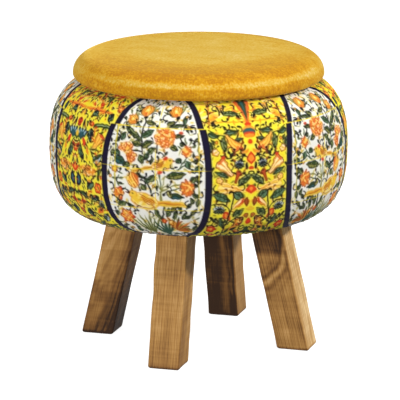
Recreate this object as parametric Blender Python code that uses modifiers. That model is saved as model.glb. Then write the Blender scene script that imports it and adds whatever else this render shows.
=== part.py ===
"""Round upholstered footstool: a velvet seat pad on a stuffed drum in printed cotton, with four splayed legs.

Metres, +Z up. The origin is on the floor, under the middle of the seat. The legs stand on the X and Y axes.
"""

import math

import bmesh
import bpy
from mathutils import Matrix

# Clearance between pieces that touch
FIT_GAP = 0.0003

# Sides of every turned piece, and of every screw
TURN_STEPS = 48
SCREW_STEPS = 10

# Drum: a base board and a top ring of plywood on four posts, wrapped in hardboard
DRUM_RADIUS = 0.124
DRUM_WALL = 0.003
BASE_BOARD = 0.018
ACCESS_HOLE_RADIUS = 0.045
TOP_RING = 0.015
TOP_RING_WIDTH = 0.060
POST_HEIGHT = 0.147
POST_SIDE = 0.034

# Legs: square posts that lean outwards, cut level at the top and at the floor
LEG_HEIGHT = 0.178
LEG_SIDE = 0.043
LEG_SPLAY_DEGREES = 12.9
LEG_INSET = 0.026
LEG_EDGE_ROUND = 0.0025

# Dust cover under the base
DUST_COVER_CLOTH = 0.0008
DUST_COVER_MARGIN = 0.002

# Foam sleeve round the drum, with loose fibre between it and the printed cover
FOAM_SLEEVE = 0.022

# Printed cover: its widest line, the height of that line above its underside, and its turned-in edges
BODY_RADIUS = 0.200
BODY_EQUATOR_RISE = 0.093
BODY_CLOTH = 0.0015
BODY_FLAT_TOP = 0.005
BODY_TURN_IN_TOP = 0.020
BODY_TURN_IN_BASE = 0.035
BODY_UPPER_POWER = 0.82
BODY_LOWER_POWER = 0.75
BULGE_STEPS = 5

# Seat pad
SEAT_RADIUS = 0.168
SEAT_CLOTH = 0.0015
SEAT_TURN_IN = 0.046
SEAT_BOARD = 0.012
SEAT_EDGE_FOAM = 0.011
SEAT_FOAM = 0.0195
SEAT_CROWN = 0.003
SEAT_SHOULDER = 0.027
SEAT_LIP = 0.0055
CROWN_STEPS = 3
SHOULDER_STEPS = 5
LIP_STEPS = 2

# Countersunk wood screws, how far they bite, and the wood left over the tips under the seat
SCREW_SHANK_RADIUS = 0.0025
SCREW_HEAD_RADIUS = 0.005
SCREW_HEAD_DEPTH = 0.003
SCREW_TIP = 0.006
LEG_SCREW_BITE = 0.038
LEG_SCREW_SPACING = 0.022
POST_SCREW_BITE = 0.030
SEAT_SCREW_COVER = 0.004

# Finishes: base colour, roughness, metallic
FINISHES = {
    "mustard_velvet": ((0.72, 0.44, 0.08), 0.9, 0.0),
    "printed_cotton": ((0.88, 0.76, 0.22), 0.85, 0.0),
    "stained_pine": ((0.36, 0.20, 0.08), 0.65, 0.0),
    "bare_pine": ((0.72, 0.54, 0.33), 0.7, 0.0),
    "plywood": ((0.66, 0.50, 0.32), 0.7, 0.0),
    "hardboard": ((0.30, 0.19, 0.10), 0.75, 0.0),
    "upholstery_foam": ((0.86, 0.80, 0.62), 0.95, 0.0),
    "polyester_fibre": ((0.92, 0.92, 0.90), 0.95, 0.0),
    "dust_cloth": ((0.03, 0.03, 0.03), 0.95, 0.0),
    "zinc_steel": ((0.62, 0.60, 0.52), 0.35, 1.0),
}

# Bearings from +X, in degrees: the legs and seat screws, and the posts between them
SIDES = {"right": 0.0, "back": 90.0, "left": 180.0, "front": 270.0}
CORNERS = {"back_right": 45.0, "back_left": 135.0, "front_left": 225.0, "front_right": 315.0}

# Levels, from the floor up
DUST_COVER_LOW = LEG_HEIGHT + FIT_GAP
DUST_COVER_HIGH = DUST_COVER_LOW + DUST_COVER_CLOTH
BODY_LOW = DUST_COVER_HIGH + FIT_GAP
BASE_LOW = BODY_LOW + BODY_CLOTH + FIT_GAP
BASE_HIGH = BASE_LOW + BASE_BOARD
POST_LOW = BASE_HIGH + FIT_GAP
POST_HIGH = POST_LOW + POST_HEIGHT
RING_LOW = POST_HIGH + FIT_GAP
RING_HIGH = RING_LOW + TOP_RING
BODY_HIGH = RING_HIGH + FIT_GAP + BODY_CLOTH
SEAT_LOW = BODY_HIGH + FIT_GAP
SEAT_BOARD_LOW = SEAT_LOW + SEAT_CLOTH + FIT_GAP
SEAT_BOARD_HIGH = SEAT_BOARD_LOW + SEAT_BOARD
SEAT_FOAM_LOW = SEAT_BOARD_HIGH + FIT_GAP
SEAT_HIGH = SEAT_FOAM_LOW + SEAT_FOAM + FIT_GAP + SEAT_CLOTH
BODY_EQUATOR = BODY_LOW + BODY_EQUATOR_RISE

# Radii, from the drum's edge outwards, then from it inwards
WALL_INNER = DRUM_RADIUS + FIT_GAP
WALL_OUTER = WALL_INNER + DRUM_WALL
SLEEVE_INNER = WALL_OUTER + FIT_GAP
SLEEVE_OUTER = SLEEVE_INNER + FOAM_SLEEVE
FIBRE_INNER = SLEEVE_OUTER + FIT_GAP
RING_INNER = DRUM_RADIUS - TOP_RING_WIDTH
RING_MIDDLE = DRUM_RADIUS - TOP_RING_WIDTH / 2
LEG_TOP_RADIUS = DRUM_RADIUS - LEG_INSET
LEG_FOOT_RADIUS = LEG_TOP_RADIUS + LEG_HEIGHT * math.tan(math.radians(LEG_SPLAY_DEGREES))
SEAT_BOARD_RADIUS = SEAT_RADIUS - SEAT_CLOTH - SEAT_EDGE_FOAM


def clear_scene():
    for old in list(bpy.data.objects):
        bpy.data.objects.remove(old, do_unlink=True)


def new_collection(name):
    collection = bpy.data.collections.new(name)
    bpy.context.scene.collection.children.link(collection)


def finish_material(name):
    """The Principled material of that name, made once."""
    found = bpy.data.materials.get(name)
    if found:
        return found
    colour, roughness, metallic = FINISHES[name]
    material = bpy.data.materials.new(name)
    material.use_nodes = True
    shader = material.node_tree.nodes["Principled BSDF"]
    shader.inputs["Base Color"].default_value = (*colour, 1.0)
    shader.inputs["Roughness"].default_value = roughness
    shader.inputs["Metallic"].default_value = metallic
    return material


def add_object(name, mesh, collection, place, turn):
    """An object on the stool's own empty."""
    made = bpy.data.objects.new(name, mesh)
    made.location = place
    made.rotation_euler = turn
    made.parent = bpy.data.objects["footstool_frame"]
    bpy.data.collections[collection].objects.link(made)
    return made


def add_part(name, mesh, finish, place=(0.0, 0.0, 0.0), turn=(0.0, 0.0, 0.0)):
    mesh.materials.append(finish_material(finish))
    return add_object(name, mesh, "footstool", place, turn)


def add_cutter(name, mesh, place, turn):
    cutter = add_object(name, mesh, "footstool_cutters", place, turn)
    cutter.hide_render = True
    cutter.display_type = "WIRE"
    return cutter


def drill(part, cutters):
    """Cuts each of these holes out of the part."""
    for cutter in cutters:
        hole = part.modifiers.new(cutter.name, "BOOLEAN")
        hole.operation = "DIFFERENCE"
        hole.object = cutter


def profile_mesh(name, points, closed):
    """A profile in the XZ plane, which runs down its outer side."""
    count = len(points)
    edges = [(i, i + 1) for i in range(count - 1)]
    if closed:
        edges.append((count - 1, 0))
    mesh = bpy.data.meshes.new(name)
    mesh.from_pydata([(r, 0.0, z) for r, z in points], edges, [])
    return mesh


def spin(part, steps):
    """Turns the part's profile about Z."""
    screw = part.modifiers.new("turning", "SCREW")
    screw.axis = "Z"
    screw.angle = math.tau
    screw.screw_offset = 0.0
    screw.steps = steps
    screw.render_steps = steps
    screw.use_merge_vertices = True
    screw.merge_threshold = 0.00001
    screw.use_smooth_shade = True


def add_turned(name, points, finish, closed=True):
    """A piece turned from a profile. An open profile starts and ends on the axis."""
    part = add_part(name, profile_mesh(name, points, closed), finish)
    spin(part, TURN_STEPS)
    return part


def box_mesh(name, size):
    """A box that stands on its origin."""
    shape = bmesh.new()
    bmesh.ops.create_cube(shape, size=1.0)
    bmesh.ops.scale(shape, vec=size, verts=shape.verts)
    bmesh.ops.translate(shape, vec=(0.0, 0.0, size[2] / 2), verts=shape.verts)
    mesh = bpy.data.meshes.new(name)
    shape.to_mesh(mesh)
    shape.free()
    return mesh


def around(radius, degrees, across=0.0):
    """The X and Y of a point at a radius on a bearing, then moved sideways."""
    bearing = math.radians(degrees)
    x = radius * math.cos(bearing) - across * math.sin(bearing)
    y = radius * math.sin(bearing) + across * math.cos(bearing)
    return x, y


def quarter(inner, outer, level, end, power, steps):
    """A rounded quarter from (inner, end) out to (outer, level), both ends included."""
    points = []
    for i in range(steps + 1):
        angle = math.pi / 2 * (1 - i / steps)
        out = max(math.cos(angle), 0.0) ** power
        up = math.sin(angle) ** power
        points.append((inner + (outer - inner) * out, level + (end - level) * up))
    return points


def ring_profile(inner, outer, low, high):
    return [(inner, high), (outer, high), (outer, low), (inner, low)]


def disc_profile(radius, low, high):
    return [(0.0, high), (radius, high), (radius, low), (0.0, low)]


def upper_bulge(inset):
    """The stuffed body's line from the drum's top edge out to its widest line, moved in by inset."""
    start = WALL_OUTER + BODY_FLAT_TOP
    outer = BODY_RADIUS - inset
    return quarter(start, outer, BODY_EQUATOR, BODY_HIGH - inset, BODY_UPPER_POWER, BULGE_STEPS)


def lower_bulge(inset):
    """The same from the drum's bottom edge out."""
    outer = BODY_RADIUS - inset
    return quarter(WALL_OUTER, outer, BODY_EQUATOR, BODY_LOW + inset, BODY_LOWER_POWER, BULGE_STEPS)


def between(line, inner, outer):
    """The stretch of a line, which runs outwards, from one radius to another."""
    line = [(min(inner, line[0][0]), line[0][1])] + line
    stretch = []
    for (r0, z0), (r1, z1) in zip(line, line[1:]):
        if r1 <= inner or r0 >= outer:
            continue
        for r in (max(r0, inner), min(r1, outer)):
            point = (r, z0 + (z1 - z0) * (r - r0) / (r1 - r0))
            if point not in stretch:
                stretch.append(point)
    return stretch


def seat_dome(inset):
    """The seat pad's line from its middle, over the crown and shoulder and round its lower lip."""
    outer = SEAT_RADIUS - inset
    shoulder_start = SEAT_RADIUS - SEAT_SHOULDER
    shoulder_high = SEAT_HIGH - SEAT_CROWN - inset
    widest = SEAT_LOW + SEAT_LIP
    crown = []
    for i in range(CROWN_STEPS):
        share = i / CROWN_STEPS
        crown.append((shoulder_start * share, shoulder_high + SEAT_CROWN * (1 - share**2)))
    shoulder = quarter(shoulder_start, outer, widest, shoulder_high, 1.0, SHOULDER_STEPS)
    lip = quarter(SEAT_RADIUS - SEAT_LIP, outer, widest, SEAT_LOW + inset, 1.0, LIP_STEPS)
    return crown + shoulder + lip[::-1][1:]


def screw_points(length, grow=0.0, overrun=0.0):
    """A countersunk screw with its head's face at zero and its tip down, or its hole when grown."""
    head = SCREW_HEAD_RADIUS + grow
    shank = SCREW_SHANK_RADIUS + grow
    points = [(0.0, overrun), (head, overrun)]
    if overrun:
        points.append((head, 0.0))
    points.append((shank, -SCREW_HEAD_DEPTH))
    points.append((shank, SCREW_TIP - length))
    points.append((0.0, -length - grow))
    return points


def add_screw(name, length, place, head_up):
    """A screw, and the cutter for the hole that it sits in."""
    turn = (0.0 if head_up else math.pi, 0.0, 0.0)
    screw = add_part(name, profile_mesh(name, screw_points(length), False), "zinc_steel", place, turn)
    spin(screw, SCREW_STEPS)
    hole_name = name + "_hole"
    hole_line = screw_points(length, FIT_GAP, SCREW_HEAD_DEPTH)
    hole = add_cutter(hole_name, profile_mesh(hole_name, hole_line, False), place, turn)
    spin(hole, SCREW_STEPS)
    return hole


def add_leg_screws():
    """Two screws a leg, from the top of the base board down into the leg's end."""
    length = BASE_HIGH - LEG_HEIGHT + LEG_SCREW_BITE
    holes = {}
    for side, bearing in SIDES.items():
        holes[side] = []
        for number, share in ((1, -0.5), (2, 0.5)):
            x, y = around(LEG_TOP_RADIUS, bearing, share * LEG_SCREW_SPACING)
            name = f"leg_screw_{side}_{number}"
            holes[side].append(add_screw(name, length, (x, y, BASE_HIGH), True))
    return holes


def add_post_screws():
    """One screw into each end of each post, up through the base board and down through the top ring."""
    base_length = POST_LOW - BASE_LOW + POST_SCREW_BITE
    top_length = RING_HIGH - POST_HIGH + POST_SCREW_BITE
    base_holes, top_holes = {}, {}
    for corner, bearing in CORNERS.items():
        x, y = around(RING_MIDDLE, bearing)
        base_holes[corner] = add_screw(f"post_base_screw_{corner}", base_length, (x, y, BASE_LOW), False)
        top_holes[corner] = add_screw(f"post_top_screw_{corner}", top_length, (x, y, RING_HIGH), True)
    return base_holes, top_holes


def add_seat_screws():
    """Four screws up through the top ring into the seat board."""
    length = SEAT_BOARD_HIGH - SEAT_SCREW_COVER - RING_LOW
    holes = []
    for side, bearing in SIDES.items():
        x, y = around(RING_MIDDLE, bearing)
        holes.append(add_screw(f"seat_screw_{side}", length, (x, y, RING_LOW), False))
    return holes


def add_legs(screw_holes):
    """A square post sheared outwards towards the floor, so that its ends stay level."""
    splay = math.radians(LEG_SPLAY_DEGREES)
    lean = Matrix.Identity(4)
    lean[0][2] = -math.tan(splay)
    size = (LEG_SIDE / math.cos(splay), LEG_SIDE, LEG_HEIGHT)
    for side, bearing in SIDES.items():
        mesh = box_mesh(f"leg_{side}", size)
        mesh.transform(lean)
        foot = (*around(LEG_FOOT_RADIUS, bearing), 0.0)
        leg = add_part(f"leg_{side}", mesh, "stained_pine", foot, (0.0, 0.0, math.radians(bearing)))
        rounding = leg.modifiers.new("eased_edges", "BEVEL")
        rounding.width = LEG_EDGE_ROUND
        rounding.segments = 2
        drill(leg, screw_holes[side])


def add_posts(base_holes, top_holes):
    size = (POST_SIDE, POST_SIDE, POST_HEIGHT)
    for corner, bearing in CORNERS.items():
        foot = (*around(RING_MIDDLE, bearing), POST_LOW)
        turn = (0.0, 0.0, math.radians(bearing))
        post = add_part(f"post_{corner}", box_mesh(f"post_{corner}", size), "bare_pine", foot, turn)
        drill(post, [base_holes[corner], top_holes[corner]])


def add_drum(base_holes, ring_holes):
    """The base board with its access hole, the top ring, and the hardboard wrapped round both."""
    base_line = ring_profile(ACCESS_HOLE_RADIUS, DRUM_RADIUS, BASE_LOW, BASE_HIGH)
    drill(add_turned("base_board", base_line, "plywood"), base_holes)
    ring_line = ring_profile(RING_INNER, DRUM_RADIUS, RING_LOW, RING_HIGH)
    drill(add_turned("top_ring", ring_line, "plywood"), ring_holes)
    add_turned("drum_wall", ring_profile(WALL_INNER, WALL_OUTER, BASE_LOW, RING_HIGH), "hardboard")


def add_dust_cover(screw_holes):
    radius = DRUM_RADIUS - DUST_COVER_MARGIN
    cover = add_turned(
        "dust_cover", disc_profile(radius, DUST_COVER_LOW, DUST_COVER_HIGH), "dust_cloth", closed=False
    )
    drill(cover, screw_holes)


def add_padding():
    """The foam sleeve, and the fibre between it and the cover."""
    inset = BODY_CLOTH + FIT_GAP
    outer = BODY_RADIUS - inset
    upper = upper_bulge(inset)
    lower = lower_bulge(inset)
    sleeve_base = between(lower, SLEEVE_INNER, SLEEVE_OUTER)
    sleeve = between(upper, SLEEVE_INNER, SLEEVE_OUTER) + sleeve_base[::-1]
    add_turned("foam_sleeve", sleeve, "upholstery_foam")
    fibre_base = between(lower, FIBRE_INNER, outer)
    fibre = between(upper, FIBRE_INNER, outer) + fibre_base[::-1][1:]
    add_turned("fibre_fill", fibre, "polyester_fibre")


def add_body_cover(screw_holes):
    """A bulging sleeve of cloth, turned in flat over the top ring and under the base board."""
    top_edge = DRUM_RADIUS - BODY_TURN_IN_TOP
    base_edge = DRUM_RADIUS - BODY_TURN_IN_BASE
    outside = upper_bulge(0.0) + lower_bulge(0.0)[::-1][1:]
    inside = upper_bulge(BODY_CLOTH) + lower_bulge(BODY_CLOTH)[::-1][1:]
    base_turn = [(base_edge, BODY_LOW), (base_edge, BODY_LOW + BODY_CLOTH)]
    top_turn = [(top_edge, BODY_HIGH - BODY_CLOTH), (top_edge, BODY_HIGH)]
    cover = add_turned("body_cover", outside + base_turn + inside[::-1] + top_turn, "printed_cotton")
    drill(cover, screw_holes)


def add_seat(screw_holes):
    """Plywood board, foam that laps over its edge, and velvet turned in under it."""
    board_line = disc_profile(SEAT_BOARD_RADIUS, SEAT_BOARD_LOW, SEAT_BOARD_HIGH)
    drill(add_turned("seat_board", board_line, "plywood", closed=False), screw_holes)
    recess = SEAT_BOARD_RADIUS + FIT_GAP
    foam_line = seat_dome(SEAT_CLOTH + FIT_GAP)
    foam_line += [(recess, SEAT_BOARD_LOW), (recess, SEAT_FOAM_LOW), (0.0, SEAT_FOAM_LOW)]
    add_turned("seat_foam", foam_line, "upholstery_foam", closed=False)
    edge = SEAT_RADIUS - SEAT_TURN_IN
    turn_in = [(edge, SEAT_LOW), (edge, SEAT_LOW + SEAT_CLOTH)]
    velvet_line = seat_dome(0.0) + turn_in + seat_dome(SEAT_CLOTH)[::-1]
    add_turned("seat_cover", velvet_line, "mustard_velvet", closed=False)


def main():
    clear_scene()
    new_collection("footstool")
    new_collection("footstool_cutters")
    frame = bpy.data.objects.new("footstool_frame", None)
    bpy.data.collections["footstool"].objects.link(frame)

    leg_holes = add_leg_screws()
    all_leg_holes = [hole for pair in leg_holes.values() for hole in pair]
    post_base_holes, post_top_holes = add_post_screws()
    seat_holes = add_seat_screws()

    add_legs(leg_holes)
    add_posts(post_base_holes, post_top_holes)
    add_drum(all_leg_holes + list(post_base_holes.values()), list(post_top_holes.values()) + seat_holes)
    add_dust_cover(all_leg_holes)
    add_padding()
    add_body_cover(all_leg_holes + seat_holes)
    add_seat(seat_holes)


main()
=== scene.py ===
import math

import bpy
import numpy as np
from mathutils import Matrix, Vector


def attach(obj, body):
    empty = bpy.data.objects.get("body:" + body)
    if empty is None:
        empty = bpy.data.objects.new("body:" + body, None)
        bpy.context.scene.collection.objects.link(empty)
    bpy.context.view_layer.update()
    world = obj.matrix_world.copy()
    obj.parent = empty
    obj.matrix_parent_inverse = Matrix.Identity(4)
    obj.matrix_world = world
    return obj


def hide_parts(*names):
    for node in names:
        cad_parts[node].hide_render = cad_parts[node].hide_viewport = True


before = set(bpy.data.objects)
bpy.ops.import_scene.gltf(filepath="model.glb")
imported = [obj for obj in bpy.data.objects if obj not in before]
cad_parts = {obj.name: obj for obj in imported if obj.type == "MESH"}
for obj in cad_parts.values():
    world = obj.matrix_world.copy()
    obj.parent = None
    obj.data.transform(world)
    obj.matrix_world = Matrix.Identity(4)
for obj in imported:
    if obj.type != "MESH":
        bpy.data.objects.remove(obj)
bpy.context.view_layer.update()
print("frame loaded,", len(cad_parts), "solids")


# 0 below low, 1 above high, a smooth curve between
def ease(value, low, high):
    t = np.clip((value - low) / (high - low), 0, 1)
    return t * t * (3 - 2 * t)


# cosine and sine of an angle in degrees
def cosSin(turn):
    return math.cos(math.radians(turn)), math.sin(math.radians(turn))


# length along a line of radius and height at each of its points; least keeps the steps apart
def lineLengths(radius, height, least=0.0):
    return np.concatenate(([0], np.cumsum(np.hypot(np.diff(radius), np.diff(height)) + least)))


# points at a radius and height, on a bearing from +X towards +Y
def polar(radius, way, height):
    return np.stack((radius * np.cos(way), radius * np.sin(way), height), -1)


# quads between the rows of a grid, closed round its columns, and round its rows too if asked
def ringQuads(rows, columns, closeRows=False):
    row = np.arange(rows if closeRows else rows - 1)[:, None]
    column = np.arange(columns)[None, :]
    here, below = row * columns, (row + 1) % rows * columns
    beside = (column + 1) % columns
    corners = (here + column, below + column, below + beside, here + beside)
    return np.stack(corners, -1).reshape(-1, 4)


# quads of a square patch of side by side points, facing up
def patchQuads(side):
    row, column = np.arange(side - 1)[:, None], np.arange(side - 1)[None, :]
    first = row * side + column
    return np.stack((first, first + 1, first + side + 1, first + side), -1).reshape(-1, 4)


# a smooth mesh of points and quads, put in as whole arrays
def makeMesh(name, points, quads):
    mesh = bpy.data.meshes.new(name)
    mesh.vertices.add(len(points))
    mesh.vertices.foreach_set("co", np.asarray(points, np.float32).ravel())
    mesh.loops.add(quads.size)
    mesh.loops.foreach_set("vertex_index", quads.astype(np.int32).ravel())
    mesh.polygons.add(len(quads))
    mesh.polygons.foreach_set("loop_start", np.arange(0, quads.size, quads.shape[1], dtype=np.int32))
    mesh.update(calc_edges=True)
    mesh.shade_smooth()
    return mesh


# an object linked to the scene
def addObject(name, data):
    made = bpy.data.objects.new(name, data)
    bpy.context.scene.collection.objects.link(made)
    return made


# puts a finished mesh on the one body, in place of a solid
def addPiece(name, mesh, material, node):
    piece = addObject(name, mesh)
    mesh.materials.append(material)
    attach(piece, "root")
    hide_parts(node)
    return piece


# one value for each point of a mesh
def addLayer(mesh, name, kind, values):
    layer = mesh.attributes.new(name, kind, "POINT")
    field = {"FLOAT_COLOR": "color", "FLOAT_VECTOR": "vector", "FLOAT": "value"}[kind]
    layer.data.foreach_set(field, np.asarray(values, np.float32).ravel())


# one place on a flat map for each corner of each face
def addMap(mesh, name, places):
    mesh.uv_layers.new(name=name).data.foreach_set("uv", places.astype(np.float32).ravel())


# screen colour of a six letter code
def ink(code):
    return np.array([int(code[i : i + 2], 16) / 255 for i in (0, 2, 4)])


# a screen colour as light
def linear(colour):
    colour = np.asarray(colour, float)
    return np.where(colour <= 0.04045, colour / 12.92, ((colour + 0.055) / 1.055) ** 2.4)


# a node with its settings, its values and its incoming links
def addNode(tree, kind, inputs=None, **settings):
    made = tree.nodes.new("ShaderNode" + kind)
    for key, value in settings.items():
        setattr(made, key, value)
    for key, value in (inputs or {}).items():
        if isinstance(value, bpy.types.NodeSocket):
            tree.links.new(value, made.inputs[key])
        else:
            made.inputs[key].default_value = value
    return made


# a material with those values on its shader
def newMaterial(name, values):
    material = bpy.data.materials.new(name)
    material.use_nodes = True
    shader = material.node_tree.nodes["Principled BSDF"]
    for key, value in values.items():
        shader.inputs[key].default_value = value
    return material, material.node_tree, shader


# joins a colour and a bump of that height to the shader
def dress(tree, shader, colour, height, strength, distance):
    tree.links.new(colour, shader.inputs["Base Color"])
    bump = addNode(tree, "Bump", {"Height": height, "Strength": strength, "Distance": distance})
    tree.links.new(bump.outputs["Normal"], shader.inputs["Normal"])


# colours between stops of position and colour code
def addRamp(tree, factor, stops):
    made = addNode(tree, "ValToRGB", {"Fac": factor})
    marks = made.color_ramp.elements
    marks[0].position, marks[-1].position = stops[0][0], stops[-1][0]
    for stop in stops[1:-1]:
        marks.new(stop[0])
    for mark, stop in zip(marks, stops):
        mark.color = (*linear(ink(stop[1])), 1)
    return made.outputs["Color"]


# one step of arithmetic on numbers or sockets
def addMath(tree, operation, first, second=0.0, third=0.0):
    made = addNode(tree, "Math", {0: first, 1: second, 2: third}, operation=operation)
    return made.outputs[0]


# a value plus a share of how far a field swings about its middle
def addSwing(tree, value, field, share):
    return addMath(tree, "MULTIPLY_ADD", addMath(tree, "SUBTRACT", field, 0.5), share, value)


# a value carried over from one range to another
def addRange(tree, value, fromLow, fromHigh, toLow, toHigh, curve="LINEAR"):
    values = {"Value": value, "From Min": fromLow, "From Max": fromHigh, "To Min": toLow, "To Max": toHigh}
    return addNode(tree, "MapRange", values, interpolation_type=curve).outputs["Result"]


# where each spot lies on its piece
def objectPlace(tree):
    return addNode(tree, "TexCoord").outputs["Object"]


# what a layer of the mesh holds at each spot
def readLayer(tree, name, output="Fac"):
    return addNode(tree, "Attribute", attribute_name=name).outputs[output]


# a place scaled along its axes and turned about Z
def stretched(tree, place, scale, turn=0.0):
    values = {"Vector": place, "Rotation": (0, 0, turn), "Scale": scale}
    return addNode(tree, "Mapping", values).outputs["Vector"]


# cloudy noise about 0.5
def addNoise(tree, place, scale=1.0, detail=2.0, roughness=0.5, distortion=0.0):
    values = {"Vector": place, "Scale": scale, "Detail": detail, "Roughness": roughness}
    return addNode(tree, "TexNoise", {**values, "Distortion": distortion}).outputs["Fac"]


# camera, light and floor
studio = {
    "azimuth": 16.96,
    "elevation": 13.73,
    "distance": 4.717,
    "lens": 315.0,
    "sensor": 36.0,
    "aimHeight": 0.1929,
    "aimRight": 0.0019,
    "skyLight": 0.27,
    "sunLight": 1.08,
    "sunSpread": 70.0,
    "lightAim": 0.2,
    "lights": (  # name, bearing from the camera, height angle, distance, size, watts
        ("keyRight", 66, 33, 2.6, 0.24, 52),
        ("fillLeft", -36, 10, 3.0, 0.8, 59),
    ),
    "floorDrop": 0.0003,
    "floorHalf": 9.0,
    "floorPoints": 19,  # along each side
    "floorGrey": 0.40,
    "floorGlow": 0.95,
}


# unit vector that points from the object towards a bearing and a height, in degrees
def towards(bearing, height):
    ahead, right = cosSin(studio["azimuth"] + bearing)
    level, up = cosSin(height)
    return Vector((right * level, -ahead * level, up))


# sets an object off from a point on a way, looking back at it
def lookBack(thing, point, way, distance):
    thing.location = point + way * distance
    thing.rotation_euler = way.to_track_quat("Z", "Y").to_euler()


# a level square that glows, so that it stays white
def buildFloor():
    side = np.linspace(-studio["floorHalf"], studio["floorHalf"], studio["floorPoints"])
    x, y = np.meshgrid(side, side)
    points = np.stack((x, y, 0 * x - studio["floorDrop"]), -1).reshape(-1, 3)
    mesh = makeMesh("paleFloor", points, patchQuads(studio["floorPoints"]))
    grey = studio["floorGrey"]
    finish = {
        "Base Color": (grey, grey, grey, 1),
        "Roughness": 0.9,
        "Emission Color": (1, 1, 1, 1),
        "Emission Strength": studio["floorGlow"],
    }
    mesh.materials.append(newMaterial("paleFloor", finish)[0])
    floor = addObject("paleFloor", mesh)
    floor.visible_diffuse = False  # no light thrown back up


# camera and lights, each set off along its bearing and height and turned back to the object
def buildStudio():
    scene = bpy.context.scene
    camera = addObject("studioCamera", bpy.data.cameras.new("studioCamera"))
    camera.data.lens, camera.data.sensor_width = studio["lens"], studio["sensor"]
    aim = Vector((0, 0, studio["aimHeight"])) + towards(90, 0) * studio["aimRight"]
    lookBack(camera, aim, towards(0, studio["elevation"]), studio["distance"])
    scene.camera = camera
    middle = Vector((0, 0, studio["lightAim"]))
    for name, bearing, height, distance, size, watts in studio["lights"]:
        lamp = bpy.data.lights.new(name, "AREA")
        lamp.shape, lamp.size, lamp.energy = "DISK", size, watts
        lookBack(addObject(name, lamp), middle, towards(bearing, height), distance)
    sun = bpy.data.lights.new("sunAbove", "SUN")  # straight down, spread wide
    sun.energy, sun.angle = studio["sunLight"], math.radians(studio["sunSpread"])
    addObject("sunAbove", sun)
    scene.world = bpy.data.worlds.new("studioSky")
    scene.world.use_nodes = True
    sky = scene.world.node_tree.nodes["Background"]
    sky.inputs["Color"].default_value = (1, 1, 1, 1)
    sky.inputs["Strength"].default_value = studio["skyLight"]
    scene.view_settings.view_transform = "Standard"
    buildFloor()


buildStudio()
print("camera, light and floor set")


# printed cover of the stuffed drum
cover = {
    "radius": 0.200,
    "equator": 0.2724,
    "topRadius": 0.1323,
    "topHeight": 0.3636,
    "topPower": 0.82,
    "baseRadius": 0.1273,
    "baseHeight": 0.1794,
    "basePower": 0.75,
    "topHem": (0.118, 0.104),  # radii of the edges turned in over and under the drum, from the bulge inwards
    "baseHem": (0.120, 0.106, 0.089),
    "cloth": 0.0015,
    "panelColumns": 148,  # columns in one of the ten panels
    "rows": 317,
    "innerRows": 24,
    "simColumns": 200,
    "simRows": 54,
    "simRough": 0.0007,  # unevenness to start from
    "simSlack": 0.10,  # spare cloth at the gathered edges
    "simulation": {"pressure": 4.0, "frames": 20, "stiffness": 14.0, "bending": 0.6},
    "simCap": 0.004,
    "simUpper": 0.22,  # share of the simulated relief that stays above the gathered base
    "simLower": 0.6,
    "gathers": 74,
    "gatherDepth": 0.0016,
    "gatherShares": (0.35, 1.25),  # of that depth
    "gatherReach": (0.024, 0.060),
    "gatherWidth": (0.010, 0.020),  # in radians
    "gatherShift": 0.36,
    "topReach": 0.6,  # share of the reach that the top's gathers have
    "deepest": -0.0013,
    "seamHalf": 0.0022,
    "seamDepth": 0.0011,
    "threadPitch": 0.0011,
}


# two superellipse quarters that meet at the widest line, at even steps of length from it:
# length, radius and height
def coverLine(rows):
    angle = np.linspace(0, math.pi / 2, 6000)
    halves = []
    for end in ("top", "base"):
        radius, height, power = (cover[end + key] for key in ("Radius", "Height", "Power"))
        out = radius + (cover["radius"] - radius) * np.cos(angle).clip(0, 1) ** power
        up = cover["equator"] + (height - cover["equator"]) * np.sin(angle) ** power
        halves.append(np.stack((out, up)))
    radius, height = np.concatenate((halves[0][:, ::-1], halves[1][:, 1:]), axis=1)
    length = lineLengths(radius, height)
    length -= length[len(angle) - 1]
    at = np.linspace(length[0], length[-1], rows)
    return at, np.interp(at, length, radius), np.interp(at, length, height)


# the line's outward normal, its tangent turned a quarter
def lineNormal(radius, height):
    out, up = -np.gradient(height), np.gradient(radius)
    size = np.hypot(out, up)
    return out / size, up / size


# points of a line of radius and height turned about Z, one column for each bearing from -Y towards +X
def turned(radius, height, bearing):
    radius, height = (np.reshape(values, (len(values), -1)) for values in (radius, height))
    bearing = np.broadcast_to(bearing, (len(radius), len(bearing)))
    height = np.broadcast_to(height, bearing.shape)
    return np.stack((radius * np.sin(bearing), -radius * np.cos(bearing), height), -1)


# the same for a line of radius, height and normal that stands off along its normal
def standOff(line, stand, bearing):
    radius, height, out, up = (values[:, None] for values in line)
    return turned(radius + out * stand, height + up * stand, bearing)


# value between the points of a grid, by cubic weights, round its columns and clamped at its rows
def resample(grid, rowAt, columnAt):
    def weights(t):
        return (
            (-t + 2 * t**2 - t**3) / 2,
            (2 - 5 * t**2 + 3 * t**3) / 2,
            (t + 4 * t**2 - 3 * t**3) / 2,
            (t**3 - t**2) / 2,
        )

    row, column = np.floor(rowAt).astype(int), np.floor(columnAt).astype(int)
    rowWeights, columnWeights = weights(rowAt - row), weights(columnAt - column)
    wide = sum(w[None, :] * grid[:, (column + k - 1) % grid.shape[1]] for k, w in enumerate(columnWeights))
    return sum(w[:, None] * wide[(row + k - 1).clip(0, len(grid) - 1)] for k, w in enumerate(rowWeights))


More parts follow.
